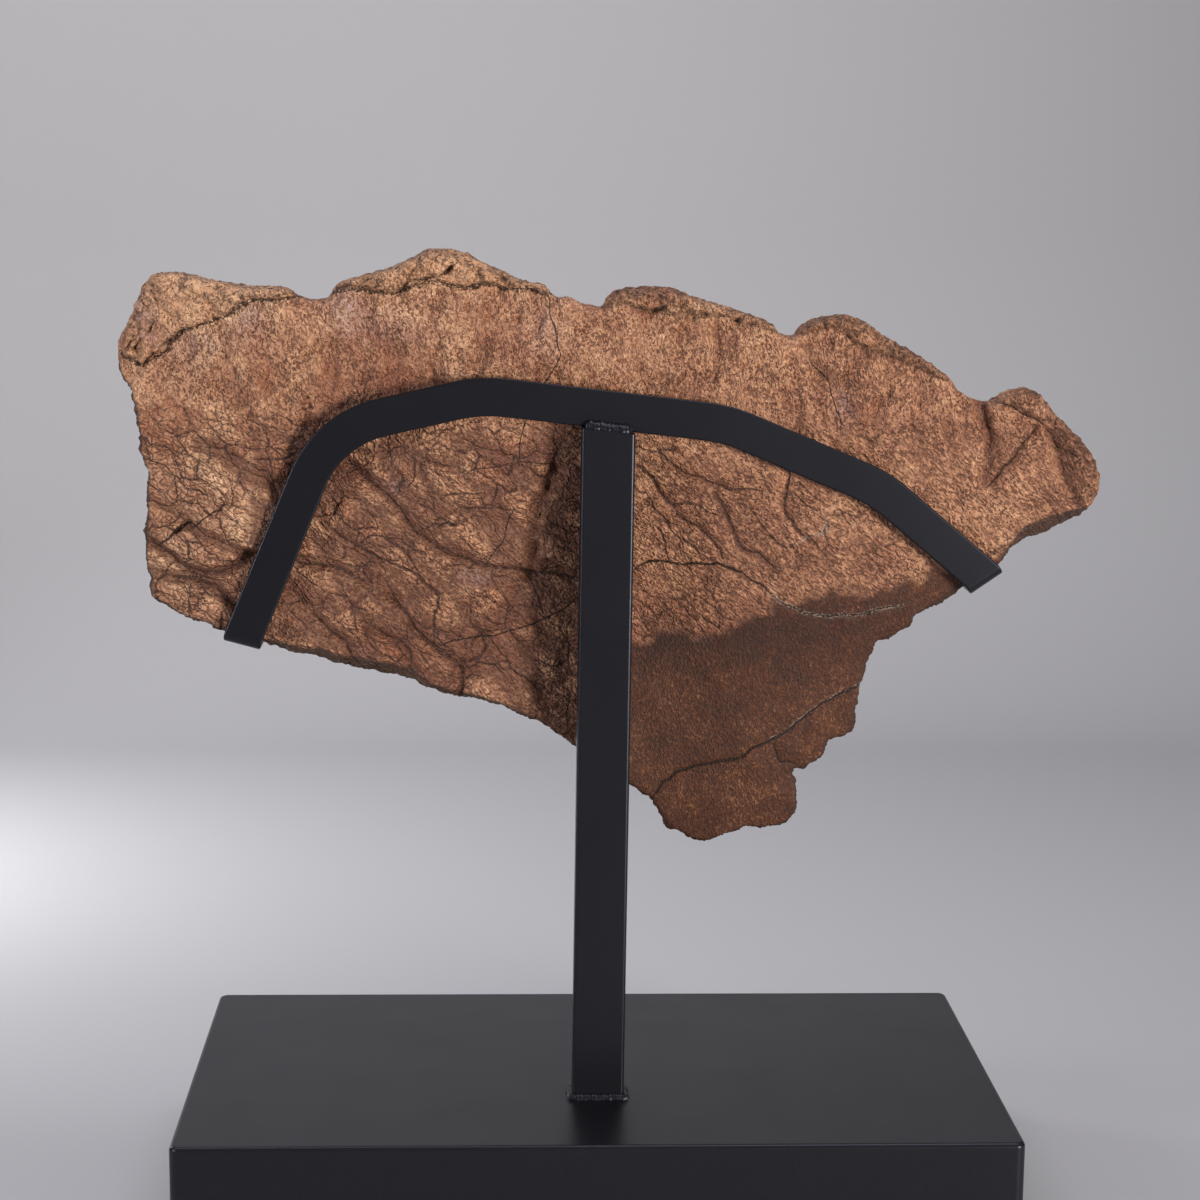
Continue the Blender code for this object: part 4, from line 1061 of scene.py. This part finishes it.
attributes = {
    "overlap": overlap,
    "suture_depth": suture_depth * front,
    "stain": stain * front + 0.5 * far_stain * (0.6 + swells(x, z, 20, 61, 3)) * (1 - front),
    # Painted shade: darker the deeper a cleft or hole is, and in the gaps between flakes on the marginal
    # bones
    "painted_cleft_shade": np.maximum(smooth(cleft_depth(wx, wz), 1.3, 3.4), flaked) * front,
    "flank": flank_share(x, z) * front,
    "broken": np.maximum(1 - smooth(to_break, 0.4, 1.4),
                         front * (1 - smooth(to_break - bevel_width(x, z), -0.8, 0.8))),
    "fans": smooth(612 - z, -8, 8) * (1 - smooth(x, -20, 20)),
    "arch": smooth(600 - z, -15, 15) * off_flank,
    # The furrow term is painted shade: darker in the upper band's furrows, lighter on the swellings between
    # them
    "tone": sum(hump(x, z, *tone) for tone in TONES) * front + 0.28 * patches
            - 0.10 * (furrows(x, z) - 0.4 * smooth(z, 560, 610)) * front,
    "rust": swells(x, z, 50, 31, 3) + hump(x, z, (-300, 520), (60, 80), 0.45)
            + hump(x, z, (210, 580), (160, 90), -0.7),
    "rim": 1 - smooth(to_margin, 6, 26),
    # Dark pores laid on as painted shadow beside the post and the strap
    "pores_and_painted_shadow": sum(hump(x, z, *pores_and_painted_shadow) for pores_and_painted_shadow in PORES_AND_PAINTED_SHADOWS) * front,
    "crackled": (1 - 0.65 * smooth(z, 585, 615)) * (1 - 0.6 * smooth(605 - z, -8, 8) * smooth(x, -20, 20))
                * off_flank * (1 - 0.8 * stain),
    "sheen": sum(hump(x, z, *sheen) for sheen in SHEENS) * front * off_flank,
    "crust": crust * front,
    "crack": np.where(front > 0.5, line_value(CRACKS, wx, wz),
                      line_value(CRACKS[:THROUGH_CRACKS], wx, wz)),
    "vessel": np.where(front > 0.5, line_value(VESSEL_LINES, wx, wz), 50.0),
}
for name, values in attributes.items():
    layer = bone_mesh.attributes.new(name, "FLOAT", "POINT")
    layer.data.foreach_set("value", np.clip(values, -50, 50).astype(np.float32))

# The flow: places on the face, which run on round the rim, for the patterns that are drawn flat
rim_distance = np.minimum(to_margin, to_break)
outward = np.zeros((len(x), 2))
for axis, (step_x, step_z) in enumerate(((FLOW_STEP, 0), (0, FLOW_STEP))):
    ahead = np.minimum(*rim_distances(x + step_x, z + step_z))
    behind = np.minimum(*rim_distances(x - step_x, z - step_z))
    outward[:, axis] = behind - ahead
outward *= ((place[:, 1] - near) * (1 - smooth(rim_distance, 0, FLOW_RIM)))[:, None]
flow_x = x + outward[:, 0] + FLOW_WARP * swells(x, z, size=24, seed=41)
flow_z = z + outward[:, 1] + FLOW_WARP * swells(x, z, size=24, seed=42)
flow = bone_mesh.attributes.new("flow", "FLOAT_VECTOR", "POINT")
flow_values = np.stack([flow_x, flow_z, 0 * x], axis=1) * MM
flow.data.foreach_set("vector", flow_values.astype(np.float32).ravel())


def make_fossil():
    """Permineralised bone: light fibres on a darker brown, dark vessel lines, grey crust along cracks."""
    material, put = new_material("permineralised_bone")
    soft_step = {"interpolation_type": "SMOOTHSTEP"}
    position = put("TexCoord").outputs["Object"]
    flow = put("Attribute", attribute_name="flow").outputs["Vector"]
    painted = {name: put("Attribute", attribute_name=name).outputs["Fac"] for name in attributes}
    flank, stain, rust = painted["flank"], painted["stain"], painted["rust"]
    fine, grain, even, swirl, sponge = (
        put("TexNoise", {"Vector": position, "Scale": 1 / (size * MM), "Detail": 1.0, "Distortion": bend})
        for size, bend in ((1.5, 0.0), (1.9, 1.5), (24, 0.0), (4.5, 0.0), (3.4, 0.8))
    )

    def fibres(angle, stretch):
        """Noise stretched along an angle in the face."""
        turned = put("Mapping", {"Vector": position, "Rotation": (0, math.radians(angle), 0),
                                 "Scale": (stretch, 1, 1)}, vector_type="TEXTURE")
        return put("TexNoise", {"Vector": turned, "Scale": 1 / (1.8 * MM), "Detail": 0.5, "Distortion": 0.9})

    def crackle(reach, angle, stretch, spacing):
        """Distance, in millimetres, from the borders of curled cells that are stretched along an angle."""
        curled = put("VectorMath MULTIPLY_ADD", (swirl.outputs["Color"], (reach * MM,) * 3, flow))
        turned = put("Mapping", {"Vector": curled, "Rotation": (0, 0, math.radians(-angle)),
                                 "Scale": (stretch, 1, 1)}, vector_type="TEXTURE")
        edge = put("TexVoronoi", {"Vector": turned, "Scale": 1 / (spacing * MM)}, voronoi_dimensions="2D",
                   feature="DISTANCE_TO_EDGE")
        return put("Math MULTIPLY", (edge, spacing))

    def dark_line(distance, low, high):
        """1 on a line and 0 off it, with a ragged edge."""
        ragged = put("Math MULTIPLY_ADD", (fine, 0.9, put("Math ADD", (distance, -0.45))))
        return put("MapRange", (ragged, low, high, 1.0, 0.0), **soft_step)

    # Worm-like fibres: light ridges 3 to 4 mm long between thin dark gaps, which are fainter in patches
    worm = put("Mix", {0: painted["arch"], 2: fibres(78, 1.6), 3: fibres(38, 2.1)})
    ridges = put("MapRange", (worm, 0.40, 0.58), **soft_step)
    off_gap = put("Math ABSOLUTE", (put("Math SUBTRACT", (worm, 0.36)),))
    gap = put("Math MULTIPLY", (
        put("MapRange", (off_gap, 0.0, 0.1, 1.0, 0.0), **soft_step),
        put("MapRange", (even, 0.36, 0.60, 0.35, 1.0), **soft_step),
    ))

    # Vessel lines: the borders of wide cells, fainter on the upper band, and of small ones
    rough_zone = put("Math SUBTRACT", (1.0, flank))
    ticks = put("Math MULTIPLY", (put("MapRange", (grain, 0.55, 0.62), **soft_step), rough_zone))
    height = put("SeparateXYZ", (position,)).outputs["Z"]
    upper = put("MapRange", (height, 0.575, 0.615), **soft_step)
    wide_zone = put("Math MULTIPLY", (rough_zone, put("Math MULTIPLY_ADD", (upper, -0.8, 1.0))))
    wide_cells = put("Mix", {0: painted["fans"], 2: crackle(1.6, 40, 3.0, 10), 3: crackle(1.6, 36, 2.5, 12)})
    wide_share = put("Math MULTIPLY", (wide_zone, put("MapRange", (rust, -0.5, 0.2), **soft_step)))
    wide = put("Math MULTIPLY", (dark_line(wide_cells, 0.10, 0.65), wide_share))
    soft = put("Math MULTIPLY", (put("MapRange", (wide_cells, 0.0, 3.2, 1.0, 0.0), **soft_step), wide_zone))
    small_cells = crackle(3.6, 30, 1.4, 4.4)
    small_share = put("Math MULTIPLY", (
        painted["crackled"], put("MapRange", (worm, 0.22, 0.36), **soft_step)))
    small = put("Math MULTIPLY", (dark_line(small_cells, 0.0, 0.48), small_share))
    pillow = put("Math MULTIPLY", (
        put("MapRange", (small_cells, 0.0, 1.5), **soft_step), painted["crackled"]))

    # Drawn cracks and vessels, sutures with a painted shadow under their edge, and pores, some of them
    # painted shadow beside the post and strap
    ragged = put("Math MULTIPLY", (put("Math SUBTRACT", (fine, 0.5)), 1.8))
    from_crack, from_vessel = (
        put("Math ADD", (put("Math ABSOLUTE", (painted[name],)), ragged)) for name in ("crack", "vessel")
    )
    crack = put("MapRange", (from_crack, 0.6, 1.3, 1.0, 0.0), **soft_step)
    vessel = put("MapRange", (from_vessel, 0.4, 1.6, 1.0, 0.0), **soft_step)
    line = put("Math MAXIMUM", (wide, vessel))
    suture = put("Math MULTIPLY_ADD", (put("Math SUBTRACT", (sponge, 0.5)), 9.0, painted["overlap"]))
    sharp = put("MapRange", (painted["suture_depth"], 0.3, 2.2), **soft_step)
    shadow = put("Math MULTIPLY", (
        put("MapRange", (suture, -2.2, -0.9), **soft_step),
        put("MapRange", (suture, 0.1, 0.6, 1.0, 0.0), **soft_step),
    ))
    shadow = put("Math MULTIPLY", (shadow, sharp))
    marginal = put("MapRange", (suture, -0.2, 0.4), **soft_step)
    lapping = put("Math MULTIPLY", (marginal, sharp))
    # Real pores on the marginal bones' rims, and pores as painted shadow beside the post and strap
    pores_and_painted_shadow = put("Math MAXIMUM", (put("Math MULTIPLY", (marginal, painted["rim"])), painted["pores_and_painted_shadow"]))
    dark_pores_and_shadow = put("Math MULTIPLY", (put("MapRange", (sponge, 0.56, 0.64), **soft_step), pores_and_painted_shadow))

    # Colour, from the light fibres down to the dark clefts. A layer is where it lies, how strong, and
    # its colour.
    light = put("Math MULTIPLY_ADD", (fine, 0.25, 0.43))
    light = put("Math MULTIPLY_ADD", (put("Math SUBTRACT", (worm, 0.5)), 0.75, light))
    light = put("Math MULTIPLY_ADD", (ticks, 0.18, put("Math ADD", (light, painted["tone"]))))
    speckled = put("Math MULTIPLY_ADD", (put("Math SUBTRACT", (grain, 0.5)), 0.9, light))
    speckled = put("Math MULTIPLY_ADD", (put("Math SUBTRACT", (even, 0.5)), 0.3, speckled))
    colour = put("ValToRGB", (light,), (
        (0.20, "#67412F"), (0.42, "#8D5D44"), (0.58, "#A97759"), (0.76, "#C0906D"), (1.00, "#E2B590")))
    flank_colour = put("ValToRGB", (speckled,), (
        (0.25, "#2C140B"), (0.50, "#402010"), (0.75, "#56301A"), (1.00, "#82573B")))
    trough = put("MapRange", (stain, 0.2, 0.7), **soft_step)
    trough = put("Math MAXIMUM", (trough, put("Math MULTIPLY", (soft, 0.4))))
    crust = put("MapRange", (fine, 0.42, 0.62, 0.0, 0.8), **soft_step)
    for place, strength, over in (
        (put("MapRange", (rust, -0.1, 0.6, 0.0, 0.45), **soft_step), 1.0, "#8C4E35"),
        (trough, 0.78, "#60392A"),
        (flank, 1.0, flank_colour),
        (lapping, 0.45, "#CC966E"),
        # Painted reflection: a grey sheen on the ridges of the smoother spots
        (painted["sheen"], put("Math MULTIPLY", (ridges, 0.45)), "#A8949C"),
        (gap, put("Math MULTIPLY_ADD", (flank, -0.25, 0.78)), "#4C2E20"),
        (small, 0.80, "#40261A"),
        (line, 0.85, "#3A2117"),
        (painted["broken"], 0.9, "#38251B"),
        # Partly painted shadow: dark pores beside the post and strap; partly real pores on the marginal rims
        (dark_pores_and_shadow, 0.70, "#341C11"),
        (painted["crust"], crust, "#9C8E82"),
        (crack, 0.92, "#1A100B"),
        # Painted shade in clefts, holes and flake gaps, and painted shadow under the sutures' edges
        (put("Math MAXIMUM", (painted["painted_cleft_shade"], shadow)), 0.88, "#22130B"),
    ):
        share = put("Math MULTIPLY", (place, strength))
        colour = put("Mix", {0: share, 6: colour, 7: over}, data_type="RGBA").outputs[2]

    # Relief, by how far each pattern stands out in millimetres, and how much it changes the roughness
    relief = put("Math MULTIPLY", (worm, 1.9))
    for pattern, rise in ((gap, -0.45), (pillow, 0.85), (fine, 0.4)):
        relief = put("Math MULTIPLY_ADD", (pattern, rise, relief))
    relief = put("Math MULTIPLY", (relief, put("Math MULTIPLY_ADD", (flank, -0.6, 1.0))))
    deepest = put("Math MAXIMUM", (crack, dark_pores_and_shadow))
    for pattern, rise in (
        (ticks, 0.12), (line, -0.55), (soft, -0.45), (small, -0.35), (deepest, -0.7), (lapping, 1.5),
    ):
        relief = put("Math MULTIPLY_ADD", (pattern, rise, relief))
    roughness = 0.57
    shine = put("Math MULTIPLY", (painted["sheen"], ridges))
    for pattern, change in ((shine, -0.22), (stain, -0.10), (flank, 0.12)):
        roughness = put("Math MULTIPLY_ADD", (pattern, change, roughness))
    shader = put("BsdfPrincipled", {
        "Base Color": colour, "Roughness": roughness,
        "Normal": put("Bump", {"Strength": 1.0, "Distance": 1.0 * MM, "Height": relief}),
        "IOR": 1.5, "Specular IOR Level": 0.38,
    })
    put("OutputMaterial", {"Surface": shader})
    return material


bone_mesh.materials.clear()
bone_mesh.materials.append(make_fossil())
bone_mesh.shade_smooth()
bone = new_object("fossil_bone", bone_mesh)
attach(bone, "root")
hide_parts("frill_bone")


# --- Studio ---
# A pale seamless paper sweep, a soft box low at the front right, one above and one at the left for the
# edges, two that light the paper behind, and a dim room.

SWEEP_FRONT, SWEEP_BACK, SWEEP_HALF_WIDTH, SWEEP_HEIGHT, SWEEP_RADIUS = -3.0, 1.5, 4.0, 3.2, 0.7

bm = bmesh.new()
edge = [bm.verts.new((-SWEEP_HALF_WIDTH, SWEEP_FRONT, 0)), bm.verts.new((-SWEEP_HALF_WIDTH, SWEEP_BACK, 0))]
bm.edges.new(edge)
bend = bmesh.ops.spin(bm, geom=[edge[1]], cent=(0, SWEEP_BACK, SWEEP_RADIUS), axis=(1, 0, 0),
                      angle=math.pi / 2, steps=24)["geom_last"]
wall = bmesh.ops.extrude_vert_indiv(bm, verts=verts_in(bend))["verts"]
bmesh.ops.translate(bm, verts=wall, vec=(0, 0, SWEEP_HEIGHT))
side = bmesh.ops.extrude_edge_only(bm, edges=bm.edges[:])["geom"]
bmesh.ops.translate(bm, verts=verts_in(side), vec=(2 * SWEEP_HALF_WIDTH, 0, 0))
sweep_mesh = mesh_of(bm, "paper_sweep")
sweep_mesh.shade_smooth()
paper, put = new_material("pale_paper")
put("OutputMaterial", {"Surface": put("BsdfPrincipled", {"Base Color": "#B9B8BA", "Roughness": 0.9})})
sweep_mesh.materials.append(paper)
new_object("paper_sweep", sweep_mesh)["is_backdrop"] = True


def soft_box(name, place, target, size, power, colour, spread=180):
    """A rectangular area light, by its width and height in metres, its watts and its spread in degrees."""
    light = bpy.data.lights.new(name, "AREA")
    light.shape = "RECTANGLE"
    light.size, light.size_y = size
    light.energy = power
    light.spread = math.radians(spread)
    light.color = linear(colour)[:3]
    aim = (Vector(target) - Vector(place)).to_track_quat("-Z", "Y")
    new_object(name, light).matrix_world = Matrix.Translation(place) @ aim.to_matrix().to_4x4()


BONE_MIDDLE = (0, -0.04, 0.52)
soft_box("key", (2.20, -2.42, 0.45), BONE_MIDDLE, (0.80, 1.00), 26, "#FFFAF2", 80)
soft_box("top", (0.45, -0.15, 2.0), BONE_MIDDLE, (0.8, 0.9), 9, "#F6F7FF")
soft_box("left_edge", (-2.1, -1.1, 0.9), BONE_MIDDLE, (0.25, 1.4), 6.0, "#F4F6FF", 80)
soft_box("wall", (-0.9, 0.3, 2.5), (-0.6, 2.2, 0.9), (1.6, 0.6), 28, "#F8F8FF")
soft_box("floor_glow", (-1.20, 0.85, 0.55), (-0.80, 0.85, 0.0), (0.4, 0.4), 4.8, "#FFFFFF", 130)

world = bpy.data.worlds.new("dim_room")
bpy.context.scene.world = world
world.use_nodes = True
world.node_tree.nodes["Background"].inputs["Color"].default_value = linear("#E8E8EE")
world.node_tree.nodes["Background"].inputs["Strength"].default_value = 0.25

camera_data = bpy.data.cameras.new("camera")
camera_data.sensor_width = 36
camera_data.lens = 75.88
camera = new_object("camera", camera_data)
camera.matrix_world = (
    Matrix.Translation((-0.0817, -1.8433, 0.7675))
    @ Matrix.Rotation(math.radians(-2.316), 4, "Z")
    @ Matrix.Rotation(math.radians(90 - 9.521), 4, "X")
    @ Matrix.Rotation(math.radians(0.566), 4, "Z")
)
bpy.context.scene.camera = camera
bpy.context.scene.view_settings.view_transform = "Standard"

boxes = {"cad": cad_box, "visual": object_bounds()}
{name: [[float(c) for c in corner] for corner in box] for name, box in boxes.items()}
